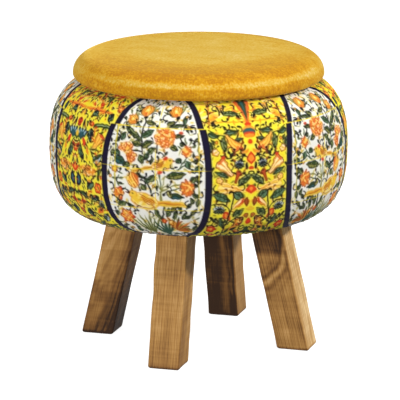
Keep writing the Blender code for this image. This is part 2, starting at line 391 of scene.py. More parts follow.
# cloth simulation on a copy: held points stay, pressure swells the rest,
# and the cut shape gives the spring lengths
def swell(points, quads, held, cut, pressure, frames, stiffness, bending):
    scene = bpy.context.scene
    trial = addObject("clothTrial", makeMesh("clothTrial", points, quads))
    trial.vertex_groups.new(name="held").add(np.flatnonzero(held).tolist(), 1.0, "REPLACE")
    trial.shape_key_add(name="sewn")
    cutShape = trial.shape_key_add(name="cut")
    cutShape.data.foreach_set("co", np.asarray(cut, np.float32).ravel())
    settings = trial.modifiers.new("cloth", "CLOTH").settings
    settings.vertex_group_mass = "held"
    settings.rest_shape_key = cutShape
    settings.quality = 7
    settings.mass = 0.2
    settings.tension_stiffness = settings.compression_stiffness = stiffness
    settings.shear_stiffness = stiffness / 3
    settings.bending_stiffness = bending
    settings.use_pressure = True
    settings.uniform_pressure_force = pressure
    settings.effector_weights.gravity = 0
    for number in range(1, frames + 1):
        scene.frame_set(number)
    shaped = trial.evaluated_get(bpy.context.evaluated_depsgraph_get())
    result = np.zeros(len(points) * 3, np.float32)
    shaped.data.vertices.foreach_get("co", result)
    mesh = trial.data
    bpy.data.objects.remove(trial)
    bpy.data.meshes.remove(mesh)
    scene.frame_set(1)
    return result.reshape(-1, 3).astype(float)


# gathers along one edge: each a furrow with a soft fold on both sides, which runs out over its reach
def addGathers(relief, length, bearing, edge, sign, draw):
    count = cover["gathers"]
    shift = draw.uniform(-cover["gatherShift"], cover["gatherShift"], count)
    place = (np.arange(count) + shift) / count * math.tau
    depth = cover["gatherDepth"] * draw.uniform(*cover["gatherShares"], count)
    reach = draw.uniform(*cover["gatherReach"], count) * (1 if sign > 0 else cover["topReach"])
    width = draw.uniform(*cover["gatherWidth"], count)
    for k in range(count):
        away = np.abs((bearing - place[k] + math.pi) % math.tau - math.pi) / width[k]
        near = np.flatnonzero(away < 4)
        grow = ease(length * sign, edge * sign - reach[k], edge * sign)
        fold = 0.6 * np.exp(-((away[near] - 1.5) ** 2)) - np.exp(-(away[near] ** 2))
        relief[:, near] += depth[k] * grow[:, None] * fold[None, :]


# how far the cloth stands off the bulge, from the simulation and from gathers where its edges are drawn in
def coverRelief(length, bearing):
    draw = np.random.default_rng(11)
    rows, columns, cap = cover["simRows"], cover["simColumns"], cover["simCap"]
    simLength, radius, height = coverLine(rows)
    simBearing = np.arange(columns) / columns * math.tau - math.pi
    out, up = lineNormal(radius, height)
    start = draw.normal(0, cover["simRough"], (rows, columns))
    start[[0, -1]] = 0
    points = standOff((radius, height, out, up), start, simBearing)
    share = np.where(simLength < 0, simLength / simLength[0], simLength / simLength[-1])
    cut = turned(radius * (1 + cover["simSlack"] * ease(share, 0.35, 1.0)), height, simBearing)
    held = np.zeros((rows, columns), bool)
    held[[0, -1]] = True
    sheet = (points.reshape(-1, 3), ringQuads(rows, columns), held.ravel(), cut.reshape(-1, 3))
    shaped = swell(*sheet, **cover["simulation"]).reshape(points.shape)
    moved = shaped - turned(radius, height, simBearing)
    stand = (moved * turned(out, up, simBearing)).sum(-1).clip(-cap, cap * 2)
    stand = (stand - stand.mean(1, keepdims=True)).clip(-cap, cap)
    print("cover simulated, relief %.1f to %.1f mm" % (stand.min() * 1000, stand.max() * 1000))
    kept = cover["simUpper"] + (cover["simLower"] - cover["simUpper"]) * ease(simLength, 0.03, 0.11)
    rowAt = (length - simLength[0]) / (simLength[-1] - simLength[0]) * (rows - 1)
    relief = resample(stand * kept[:, None], rowAt, (bearing + math.pi) / math.tau * columns)
    addGathers(relief, length, bearing, length[-1], 1, draw)
    addGathers(relief, length, bearing, length[0], -1, draw)
    return np.maximum(relief, cover["deepest"] + 0.3 * np.minimum(relief - cover["deepest"], 0))


coverAt, coverRadius, coverHeight = coverLine(cover["rows"])
coverColumns = cover["panelColumns"] * 10
coverBearing = np.arange(coverColumns) / coverColumns * math.tau - math.pi
coverStand = coverRelief(coverAt, coverBearing)


# the print: one white panel with half a yellow one on each side, which the cover repeats in mirrored pairs
# across is from the white panel's middle, down from the widest line, both in millimetres
inkCodes = {
    "white": "EAE8DF",
    "yellow": "EFE12A",
    "gold": "E8B52B",
    "straw": "F2DC66",
    "navy": "17122A",
    "black": "1A181C",
    "leaf": "314523",
    "sage": "9CA46C",
    "fern": "7F8D48",
    "jade": "587C56",
    "olive": "858134",
    "teal": "2A5A60",
    "mist": "A8BCC8",
    "orange": "EB8D27",
    "amber": "F2B138",
    "peach": "F7BE56",
    "honey": "F5C84C",
    "ember": "DB6328",
    "red": "DB3A1D",
    "rust": "A14A1C",
    "brown": "6E2A18",
    "cream": "F7E7AE",
    "moss": "B9AE50",
    "corn": "F0C53A",
    "grout": "F0D42A",
}
inks = {name: ink(code) for name, code in inkCodes.items()}
printing = {
    "repeat": 36.9,  # degrees from a white panel's middle to a yellow one's; the rest is at the seam
    "softness": 0.7,
    "bold": 1.2,
    "wobble": (4.2, 1.0),  # grain and reach
    "field": (270, 252, 131),  # height and width of the soft fields, and how far up they begin
    "whiteHalf": 68.0,
    "whiteUp": (126.0, 1.9, 2.4),  # reach, power down the panel, power across
    "whiteDown": (107.0, 3.0, 2.6),
    "whiteCorner": (42, 62, 23, 28),  # where the rounded lower corner begins, and its radii
    "border": 8.3,
    "jog": 1.6,
    "topShare": 0.94,
    "joints": ((-61.8, 0.9, 0.9), (-7.3, 0.8, 0.5), (46.6, 0.7, 0.1)),  # down, clear on white, on border
    "jointWidth": 1.25,
    "bleed": (2, 0.7),  # spots on each side, and how much of the colour
}
halfSpan = cover["radius"] * 1000 * math.radians(printing["repeat"])
across = np.linspace(-halfSpan, halfSpan, 2 * cover["panelColumns"] + 1)
down = coverAt * 1000
cloth = np.empty((len(down), len(across), 3))
cloth[:] = inks["yellow"]
everywhere = slice(None)
random = np.random.default_rng(23)


# a soft field of random values between 0 and 1, of that grain in millimetres
def mottle(grain, seed):
    high, wide, above = printing["field"]
    draw = np.random.default_rng(seed)
    coarse = draw.random((int(high / grain) + 4, int(wide / grain) + 4))
    return resample(coarse, (down + above) / grain + 1, (across + wide / 2) / grain)


grains = [mottle(2.0, 81), mottle(2.6, 82), mottle(1.8, 83)]


# rows and columns of the spots between two corners
def spotsBetween(left, right, top, low):
    return slice(*np.searchsorted(down, (top, low))), slice(*np.searchsorted(across, (left, right)))


# the spots within reach of a point, and how far each lies along and across an axis
# that is turned from the right downwards
def spotsNear(x, y, reach, turn=0.0):
    area = spotsBetween(x - reach, x + reach, y - reach, y + reach)
    dx, dy = across[None, area[1]] - x, down[area[0], None] - y
    c, s = cosSin(turn)
    return area, dx * c + dy * s, dy * c - dx * s


# the spots of an oval: how far out each lies, 1 at the rim, its bearing, its place across,
# and the oval's half size
def ovalSpots(x, y, width, height, turn=0.0):
    area, u, v = spotsNear(x, y, max(width, height) / 2 + 1, turn)
    return area, np.hypot(u / width, v / height) * 2, np.arctan2(v, u), v, min(width, height) / 2


# an ink laid over an area, by its amount at each spot
def lay(area, amount, colour):
    part = cloth[area]
    part += np.clip(amount, 0, 1)[..., None] * (inks[colour] - part)


# two colours dabbed at random over what is inside
def dab(area, inside, first, second):
    lay(area, inside * ease(grains[0][area], 0.56, 0.74) * 0.85, first)
    lay(area, inside * ease(grains[1][area], 0.58, 0.76) * 0.85, second)


# 1 inside by more than the softness, 0 outside
def soft(inside):
    return np.clip(inside / printing["softness"] + 0.5, 0, 1)


# an oval about its middle, with its width along turn
def oval(x, y, width, height, turn, colour):
    area, far, _, _, size = ovalSpots(x, y, width, height, turn)
    lay(area, soft((1 - far) * size), colour)


# ovals on one point, each inside the last: size and colour
def discs(x, y, *rings):
    for size, colour in rings:
        oval(x, y, size, size, 0, colour)


# half width of a pointed blade, a sine that is widest at belly
def bladeHalf(u, length, width, belly):
    t = (u / length).clip(0, 1)
    return width / 2 * np.sin(math.pi * t ** (math.log(0.5) / math.log(belly))).clip(0, 1) ** 0.8


# a pointed blade from its root along turn
def blade(x, y, length, width, turn, colour, belly=0.5, strength=1.0):
    area, u, v = spotsNear(x, y, length + 1, turn)
    inside = soft(bladeHalf(u, length, width, belly) - abs(v)) * (u > 0) * (u < length)
    lay(area, inside * strength, colour)


# a straight sided wedge that widens from its point along turn
def wedge(x, y, length, width, turn, colour):
    area, u, v = spotsNear(x, y, length + width / 2, turn)
    lay(area, soft(width / 2 * u / length - abs(v)) * (u < length), colour)


# a leaf about its middle: a black outline and rib, a green inside, and paler dabs, most of them on one half
def leaf(x, y, length, width, turn, dark="leaf", pale="fern"):
    length, width = length * printing["bold"], width * printing["bold"] * 0.98
    c, s = cosSin(turn)
    x, y = x - c * length / 2, y - s * length / 2
    blade(x, y, length, width, turn, "black", 0.45)
    blade(x + c * 0.8, y + s * 0.8, length - 1.6, width - 1.7, turn, dark, 0.45)
    area, u, v = spotsNear(x, y, length + 1, turn)
    inside = soft(bladeHalf(u, length * 0.94, width - 2.2, 0.45) - abs(v)) * (u > 0) * (u < length)
    lay(area, inside * ease(grains[2][area] + np.where(v > 0, 0.26, -0.16), 0.40, 0.60), pale)
    lay(area, soft(0.5 - abs(v)) * (u > 0) * (u < length * 0.9) * 0.8, "black")


# the Bezier curve of its points, drawn out to half its width
def stem(points, width, colour="black"):
    points = np.array(points, float)
    last = len(points) - 1
    t = np.linspace(0, 1, 10 + 6 * last)[:, None]
    line = sum(math.comb(last, k) * t**k * (1 - t) ** (last - k) * points[k] for k in range(last + 1))
    low, high = line.min(0) - width - 1, line.max(0) + width + 1
    area = spotsBetween(low[0], high[0], low[1], high[1])
    spots = np.stack(np.meshgrid(across[area[1]], down[area[0]]), -1)[:, :, None]
    step = np.diff(line, axis=0)
    t = (((spots - line[:-1]) * step).sum(-1) / (step**2).sum(-1)).clip(0, 1)
    far = np.linalg.norm(spots - line[:-1] - t[..., None] * step, axis=-1).min(-1)
    lay(area, soft(width / 2 - far), colour)


# a small dark comma: a dot with a curling tail
def tick(x, y, size, turn, colour="black"):
    c, s = (value * size for value in cosSin(turn))
    oval(x, y, size * 0.60, size * 0.52, turn, colour)
    hook = ((0, 0), (0.9, -0.1), (1.3, 0.7), (0.7, 1.1))
    stem([(x + c * u - s * v, y + s * u + c * v) for u, v in hook], 0.2 * size, colour)


# a round flower: a lobed rim, its body, spots of its colours and an eye
def bloom(x, y, width, height, petals, rim="red", body="orange", glow="gold", eye="cream"):
    area, far, way, _, size = ovalSpots(x, y, width, height)
    edge = 0.9 + 0.1 * np.cos(petals * way)
    inside = soft((edge - 0.8 / size - far) * size)
    lay(area, soft((edge - far) * size), "brown")
    lay(area, inside, rim)
    lay(area, soft((edge * 0.74 - far) * size) * (np.cos(petals * way) > -0.75), body)
    dab(area, inside, rim, glow)
    lay(area, soft((0.26 - far) * size), eye)


# a full flower: rings of petals one inside the other, each turned from the last
def carnation(x, y, width, height, petals, shades):
    area, far, way, _, size = ovalSpots(x, y, width, height)
    for ring, shade in enumerate(shades):
        reach = 1 - ring * 0.9 / len(shades)
        edge = reach * (0.88 + 0.12 * np.cos(petals * way + ring * 2.1))
        lay(area, soft((edge - far) * size), "brown" if ring == 0 else "ember")
        lay(area, soft((edge - 0.9 / size - far) * size), shade)
    dab(area, soft((0.85 - far) * size), "ember", "straw")


# a flower head of many small florets
def cluster(x, y, width, height, florets):
    def scattered():
        far, way = np.sqrt(random.random(florets)), random.random(florets) * math.tau
        return zip(x + far * np.cos(way) * width / 2, y + far * np.sin(way) * height / 2)

    rims, hearts = ["ember", "rust", "ember"], ["orange", "peach", "straw", "honey"]
    for fx, fy in scattered():
        oval(fx, fy, 5.0, 4.4, random.random() * 180, random.choice(rims))
        oval(fx - 0.3, fy - 0.5, 3.0, 2.4, random.random() * 180, random.choice(hearts))
    area, u, v = spotsNear(x, y, max(width, height) / 2 + 3)
    dab(area, soft((1.08 - np.hypot(u / width, v / height) * 2) * 6), "ember", "honey")
    for k, (fx, fy) in enumerate(scattered()):
        oval(fx, fy, 2.0, 1.7, 0, "cream" if k % 3 == 0 else "ember")


# a bud that opens along turn from its root: thin sepals, a crown of petals, a pale heart and a dark calyx
def tulip(x, y, width, height, turn, calyx="black"):
    c, s = (value * height for value in cosSin(turn))
    for spread in (-48, 48, -34, 34):
        blade(x, y, height * 1.12, width * 0.2, turn + spread, "leaf")
        blade(x, y, height * 1.08, width * 0.1, turn + spread, "moss")
    for spread in (-27, 27, -13, 13, 0):
        size = height * (1 - abs(spread) / 170)
        shade = "amber" if abs(spread) == 13 else "orange"
        blade(x, y, size, width * 0.46, turn + spread, "rust", 0.55)
        blade(x, y, size * 0.95, width * 0.38, turn + spread, shade, 0.55)
        blade(x, y, size * 0.85, width * 0.16, turn + spread + 4, "straw")
        blade(x, y, size * 0.6, width * 0.12, turn + spread - 6, "ember")
    oval(x + c * 0.5, y + s * 0.5, width * 0.36, height * 0.3, turn + 90, "honey")
    oval(x + c * 0.52, y + s * 0.52, width * 0.16, height * 0.14, turn + 90, "cream")
    oval(x, y, width * 0.34, height * 0.2, turn + 90, calyx)


# a flower that flares along turn: stripes along a widening throat, with a coloured lip
def trumpet(x, y, length, mouth, turn, stripe="orange", ground="white", lip="red", rim="brown"):
    area, u, v = spotsNear(x, y, length + mouth / 2, turn)
    t = (u / length).clip(0, 1)
    half = mouth / 2 * (0.2 + 0.8 * t**1.6)
    inside = soft(half + 0.9 - abs(v)) * (u > -0.5) * (u < length * (1.04 - 0.14 * (v / half) ** 2))
    lay(area, inside, rim)
    inside = soft(half - abs(v)) * (u > 0) * (u < length * (1 - 0.14 * (v / half) ** 2))
    lay(area, inside, ground)
    lay(area, inside * (np.cos(8.0 * v / half) > 0.3) * 0.95, stripe)
    lay(area, inside * (t > 0.84) * (v > -half * 0.4) * 0.85, lip)


# a dark flower head with pale petal tips along its upper side
def aster(x, y, width, height):
    area, far, way, v, size = ovalSpots(x, y, width, height)
    petals = np.cos(11 * way)
    edge = 0.9 + 0.1 * petals
    upper = ease(-v / height, -0.1, 0.16)
    lay(area, soft((edge - far) * size), "black")
    lay(area, (petals > -0.45) * ease(far, 0.3, 0.5) * (far < edge - 0.06) * upper, "mist")
    lay(area, (petals > 0.3) * ease(far, 0.55, 0.7) * (far < edge - 0.1) * upper * 0.7, "white")
    lay(area, (np.cos(9 * way + 3) > 0.2) * (far > 0.2) * (far < 0.8) * (1 - upper) * 0.8, "jade")


# an upright flower: pointed petals fanned from its root, dark outside, teal inside, with pale tips
def iris(x, y, width, height):
    for spread in (-42, 42, -22, 22, 0):
        blade(x, y, height, width * 0.34, spread - 90, "black", 0.62)
        blade(x, y, height * 0.92, width * 0.22, spread - 90, "teal", 0.62)
    for spread in (-36, 36, -12, 12):
        c, s = cosSin(spread - 90)
        tipX, tipY = x + c * height * 0.5, y + s * height * 0.5
        blade(tipX, tipY, height * 0.45, width * 0.13, spread - 90, "mist")


# a bird whose head lies along turn: a striped tail, a body pale below, streaked wing feathers,
# head, eye and beak
def bird(x, y, size, turn, tail, tilt=0.0, belly="corn", back="orange"):
    c, s = cosSin(turn)
    flip = 1 if c > 0 else -1

    def at(u, v):
        return x + (c * u + s * v * flip) * size, y + (s * u - c * v * flip) * size

    awayX, awayY = (tail * value for value in cosSin(turn + 180 + tilt))
    for lift, width, colour in (
        (0, 0.165, "gold"), (0, 0.135, belly), (0.035, 0.03, back), (-0.03, 0.025, "gold"), (0, 0.02, "rust"),
    ):
        rootX, rootY = at(-0.1, lift)
        share = 1 - 3 * abs(lift)
        stem([(rootX, rootY), (rootX + awayX * share, rootY + awayY * share)], max(size * width, 0.8), colour)
    oval(x, y, size * 0.85, size * 0.5, turn, "orange")
    oval(x, y, size * 0.81, size * 0.46, turn, belly)
    area, u, v = spotsNear(x, y, size, turn)
    body = soft((1 - np.hypot(u / (size * 0.81), v / (size * 0.46)) * 2) * size * 0.2)
    dab(area, body, "straw", "cream")
    lay(area, body * ease(v * flip, size * 0.1, size * 0.19), "cream")
    for k, lean in enumerate((7, 4, 1, -2, -5, -8)):
        px, py = at(0.2 - 0.02 * k, -0.02 + 0.035 * k)
        way = turn + 180 + lean * flip
        blade(px, py, size * (0.6 - 0.04 * k), size * 0.085, way, "gold" if k % 2 else "orange", 0.4)
        blade(px, py, size * (0.58 - 0.04 * k), size * 0.06, way, (belly, "gold", belly, back)[k % 4], 0.4)
    for k in range(4):
        bend = at(0.16 - 0.05 * k, 0.17 - 0.06 * k), at(0.02, 0.13 - 0.06 * k), at(-0.3, 0.06 - 0.05 * k)
        stem(bend, 0.9, "rust")
    stem([at(0.3, -0.12), at(0.0, -0.3), at(-0.34, -0.1)], 0.9, "rust")
    oval(*at(0.38, 0.12), size * 0.265, size * 0.235, turn, "orange")
    oval(*at(0.38, 0.12), size * 0.23, size * 0.2, turn, belly)
    oval(*at(0.27, 0.0), size * 0.2, size * 0.16, turn, belly)
    blade(*at(0.48, 0.13), size * 0.14, size * 0.07, turn + 8 * flip, "brown", 0.3)
    oval(*at(0.4, 0.14), size * 0.05, size * 0.05, 0, "black")


# where the plain ground still shows, clear of anything drawn
def plainGround(before, reach=3):
    drawn = (abs(cloth - before).max(-1) > 0.1).astype(float)
    for axis in (0, 1):
        drawn = np.max([np.roll(drawn, k, axis) for k in range(-reach, reach + 1)], axis=0)
    return drawn < 0.5


# whether a place is on the cloth and a mask holds there
def holdsAt(mask, x, y):
    row, column = np.searchsorted(down, y), np.searchsorted(across, x)
    return row < len(down) and column < len(across) and mask[row, column]


# a place shifted at random by up to 0.4 of a step each way
def shifted(draw, x, y, step):
    return x + draw.uniform(-0.4, 0.4) * step, y + draw.uniform(-0.4, 0.4) * step


# dark commas spread over what is still plain
def scatterTicks(before, where, step, sizes, seed):
    plain = plainGround(before, 2) & where
    draw = np.random.default_rng(seed)
    for y in np.arange(down[0] + 2, down[-1] - 2, step):
        for x in np.arange(across[0] + 2, across[-1] - 2, step):
            px, py = shifted(draw, x, y, step)
            size, turn = draw.uniform(*sizes), draw.uniform(0, 360)
            if holdsAt(plain, px, py):
                tick(px, py, size, turn)


# a curved stem with a leaf, and at its end a bud or a second leaf
def sprig(x, y, turn, side, bud):
    c, s = cosSin(turn)
    endX, endY = x + c * 4, y + s * 4
    stem([(x - c * 4, y - s * 4), (x - s * 2 * side, y + c * 2 * side), (endX, endY)], 1.2, "leaf")
    leaf(x - s * 2.4 * side, y + c * 2.4 * side, 6.2, 3.4, turn + 35 * side)
    if bud:
        oval(endX, endY, 4.6, 3.8, turn, "brown")
        oval(endX, endY, 3.4, 2.6, turn, bud)
    else:
        leaf(x + c * 3 + s * 1.6 * side, y + s * 3 - c * 1.6 * side, 5.6, 3.2, turn - 30 * side)


# small sprigs over the wider plain places
def scatterSprigs(before, where, step, seed, buds):
    draw = np.random.default_rng(seed)
    for y in np.arange(down[0] + 3, down[-1] - 3, step):
        plain = plainGround(before) & where
        for x in np.arange(across[0] + 3, across[-1] - 3, step):
            px, py = shifted(draw, x, y, step)
            turn = draw.uniform(0, 360)
            bud, side = buds[draw.integers(len(buds))], draw.choice([-1, 1])
            if holdsAt(plain, px, py):
                sprig(px, py, turn, side, bud)


# short brush strokes over an area, which lean with slow waves
def strew(count, left, right, lengths, widths, colours, seed, top=down[0]):
    draw = np.random.default_rng(seed)
    for _ in range(count):
        x, y = draw.uniform(left, right), draw.uniform(top, down[-1])
        turn = 90 + 70 * math.sin(x * 0.13 + 1.7 * math.sin(y * 0.06)) + draw.normal(0, 22)
        length, width = draw.uniform(*lengths), draw.uniform(*widths)
        blade(x, y, length, width, turn, colours[draw.integers(len(colours))], 0.4, 0.95)


# yellow ground with clouds of gold and straw
def paintGround():
    lay(everywhere, ease(mottle(9.0, 3), 0.5, 0.95) * 0.2, "gold")
    lay(everywhere, ease(mottle(3.4, 5), 0.6, 0.9) * 0.25, "gold")
    lay(everywhere, ease(mottle(4.0, 4), 0.66, 0.95) * 0.4, "straw")


# left half of the yellow panel whose axis is on the right
def paintFirstYellow():
    axis = halfSpan
    for _ in range(80):
        x, y = axis - random.uniform(4, 70), random.uniform(-128, -74)
        shade = random.choice(["orange", "gold", "straw", "peach", "orange", "cream", "rust"])
        blade(x, y, random.uniform(7, 15), random.uniform(2, 3.6), random.uniform(110, 200), shade, 0.5, 0.9)
    hooks = ((44, -96, 6, 14), (30, -98, -3, 14), (60, -92, 5, 9), (52, -84, -6, 8), (18, -98, 4, 8))
    for x, y, dx, dy in hooks:
        stem([(axis - x, y), (axis - x + dx, y + dy * 0.3), (axis - x + dx * 0.6, y + dy)], 2.0)
    stem([(axis - 66, -70), (axis - 30, -71.5), (axis, -70)], 1.6, "orange")
    wedge(axis, -61, 45, 27, -90, "ember")
    wedge(axis, -72, 34, 15, -90, "leaf")
    wedge(axis, -80, 26, 6, -90, "teal")
    leaf(axis - 23, -83, 21, 8, 4)
    blade(axis - 15, -82, 8, 4, 60, "black")
    blade(axis - 33, -80, 12, 3, -110, "black")
    oval(axis, -66.6, 10, 5, 0, "red")
    oval(axis - 8, -69.6, 3.4, 3, 0, "brown")
    oval(axis, -57.5, 19, 15, 0, "orange")
    oval(axis, -55.5, 18, 11, 0, "teal")
    oval(axis, -52.6, 16, 8.6, 0, "red")
    oval(axis, -51.6, 13, 6, 0, "orange")
    oval(axis, -43.6, 8, 5, 0, "red")
    for side in (11, 6):
        oval(axis - side, -31, 7, 4, -40, "orange")
    blade(axis, -14, 17, 14, -90, "red", 0.42)
    oval(axis, -22, 7.4, 8.6, 0, "orange")
    oval(axis, -9.3, 7.5, 5, 0, "red")
    oval(axis - 6.4, -11.6, 3.2, 9, 0, "navy")
    stem([(axis - 4, 1), (axis - 4, -5), (axis, -4.6)], 1.6)
    leaf(axis - 9.5, 6.5, 20, 7.5, 140)
    trumpet(axis - 7, 20.5, 37, 22, 188, "cream", "corn", "straw", "gold")
    for lift in (-3.4, -1, 1.6, 4.4):
        stem([(axis - 10, 20), (axis - 26, 19 + lift), (axis - 43, 14 + 2.2 * lift)], 0.9, "orange")
    for x, y, turn in ((40, 11, 200), (34, 18, 30), (44, 20, 120), (26, 16, 250)):
        tick(axis - x, y, 3.8, turn, "brown")
    bloom(axis - 42, 6, 10, 9, 5, "orange", "cream", "peach", "gold")
    blade(axis, 25, 12.5, 13, -90, "red", 0.4)
    oval(axis, 19, 4, 6, 0, "orange")
    blade(axis - 5.2, 29.5, 14, 6.4, 92, "brown")
    blade(axis - 5.2, 31, 10, 3.4, 92, "rust")
    oval(axis, 46, 12, 6, 0, "gold")
    discs(axis - 4.4, 56.2, (6.0, "brown"), (3.6, "orange"), (1.6, "brown"))
    blade(axis, 72, 12, 6, -90, "red", 0.45)
    blade(axis, 96, 20, 8, -90, "leaf")
    for x, y, length, width, turn in (
        (26, -57, 17, 7.5, -8), (49, -53, 14, 8.5, 10), (16.7, -46.5, 12.5, 5.6, 170),
        (36, -41, 16, 9, 75), (54, -38, 13, 7, 80), (39, -2, 17, 7.5, 22), (16, 27.5, 16, 10.5, 40),
        (38, 68, 19, 7, 72),
    ):
        leaf(axis - x, y, length, width * 0.84, turn, "leaf", random.choice(["fern", "jade"]))
    leaf(axis - 39, 29, 22, 10, 28, "leaf", "jade")
    stem([(axis - 56, -60), (axis - 40, -50), (axis - 24, -50), (axis - 17, -56)], 1.5, "leaf")
    trumpet(axis - 33, -53, 25, 18, 50, "orange", "honey", "ember")
    oval(axis - 12.6, -34.6, 4.4, 5, 0, "red")
    bloom(axis - 47, -31, 11, 11, 5, "peach", "white", "orange", "gold")
    trumpet(axis - 26, 0, 26, 19, 229, "orange", "cream", "ember")
    oval(axis - 37, -24, 8, 4, -10, "red")
    trumpet(axis - 21, 10, 18, 7, -75, "red", "rust", "brown")
    aster(axis - 16, -14.5, 13.5, 13.5)
    blade(axis - 25, 47, 24, 8, -46, "rust", 0.6)
    blade(axis - 25, 47, 23, 6.4, -46, "orange", 0.6)
    blade(axis - 24.5, 46, 20, 3, -50, "cream", 0.6)
    blade(axis - 17, 40, 12, 2.6, -42, "red", 0.6)
    aster(axis - 42, 46, 17, 13.5)
    leaf(axis - 16, 51.5, 15.5, 8, -36)
    blade(axis - 27, 64, 18, 9, -118, "red", 0.6)
    blade(axis - 28, 62, 13, 4, -118, "orange", 0.6)
    stem([(axis - 23, 23), (axis - 21, 34), (axis - 30, 54), (axis - 31, 66), (axis - 36, 92)], 1.8)
    stem([(axis - 28, 54), (axis - 28, 38), (axis - 44, 34), (axis - 51, 39)], 1.5)
    stem([(axis - 30, 70), (axis - 24, 58), (axis - 12, 56), (axis - 8, 60)], 1.5)
    stem([(axis - 23, 23), (axis - 26, 20), (axis - 29, 23)], 2.2)
    stem([(axis - 33, 30), (axis - 31, 36), (axis - 34, 40)], 1.6)
    blade(axis - 36, 92, 26, 5.4, -48, "leaf")
    blade(axis - 4, 98, 22, 6, -140, "black")
    blade(axis - 30, 100, 24, 6, -20, "leaf")
    bloom(axis - 14.3, 66, 13, 15, 5, "red", "orange", "gold", "straw")
    blade(axis - 27, 86, 22, 6, -62, "orange")
    bloom(axis - 52, 79, 15, 18, 5, "red", "red", "orange", "gold")
    for x, y, length, width, turn in (
        (20, 80, 10, 4, -50), (6, 90, 11, 4.4, -20), (43, 90, 12, 5, -60), (36, 102, 17, 7, -30),
        (58, 106, 14, 7, 60), (22, 112, 16, 8, 10), (44, 114, 16, 8, -40), (8, 114, 14, 7, 60),
    ):
        leaf(axis - x, y, length, width, turn, "black", "leaf")
    bloom(axis - 14, 86, 11, 9, 6, "red", "orange", "gold", "straw")
    bloom(axis - 52, 97, 14, 12, 5, "red", "red", "orange", "straw")
    bloom(axis - 30, 106, 12, 10, 5, "orange", "gold", "straw", "cream")
    for x, y, turn in (
        (60, 50, 30), (59, 58, 200), (57, 72, 320), (52, 58, 90), (38, 58, 20), (34, 76, 250),
        (22, 66, 40), (4, 78, 130), (14, -64, 20), (44, 72, 160), (60, 86, 60), (40, 88, 20),
        (10, 84, 220), (20, 60, 330), (48, 64, 10), (56, 40, 200),
    ):
        tick(axis - x, y, 6.0, turn)
    for x, y, turn in (
        (34, -63, 40), (44, -88, 200), (56, -97, 300), (28, -75, 120), (50, -66, 250), (10, -27, 200),
        (19, -27, 20), (27, -25, 150), (8, -38, 100), (36, -33, 70), (30, -30, 250), (23, -34, 80),
        (27, -20, 20), (40, -46, 200), (13, -20, 280), (9, -3, 40), (22, -3, 190), (50, -70, 30),
        (42, -67, 160), (57, -77, 100), (12, 12, 30), (46, 20, 200), (9, 62, 80), (46, 60, 40),
    ):
        tick(axis - x, y, 6.2, turn)


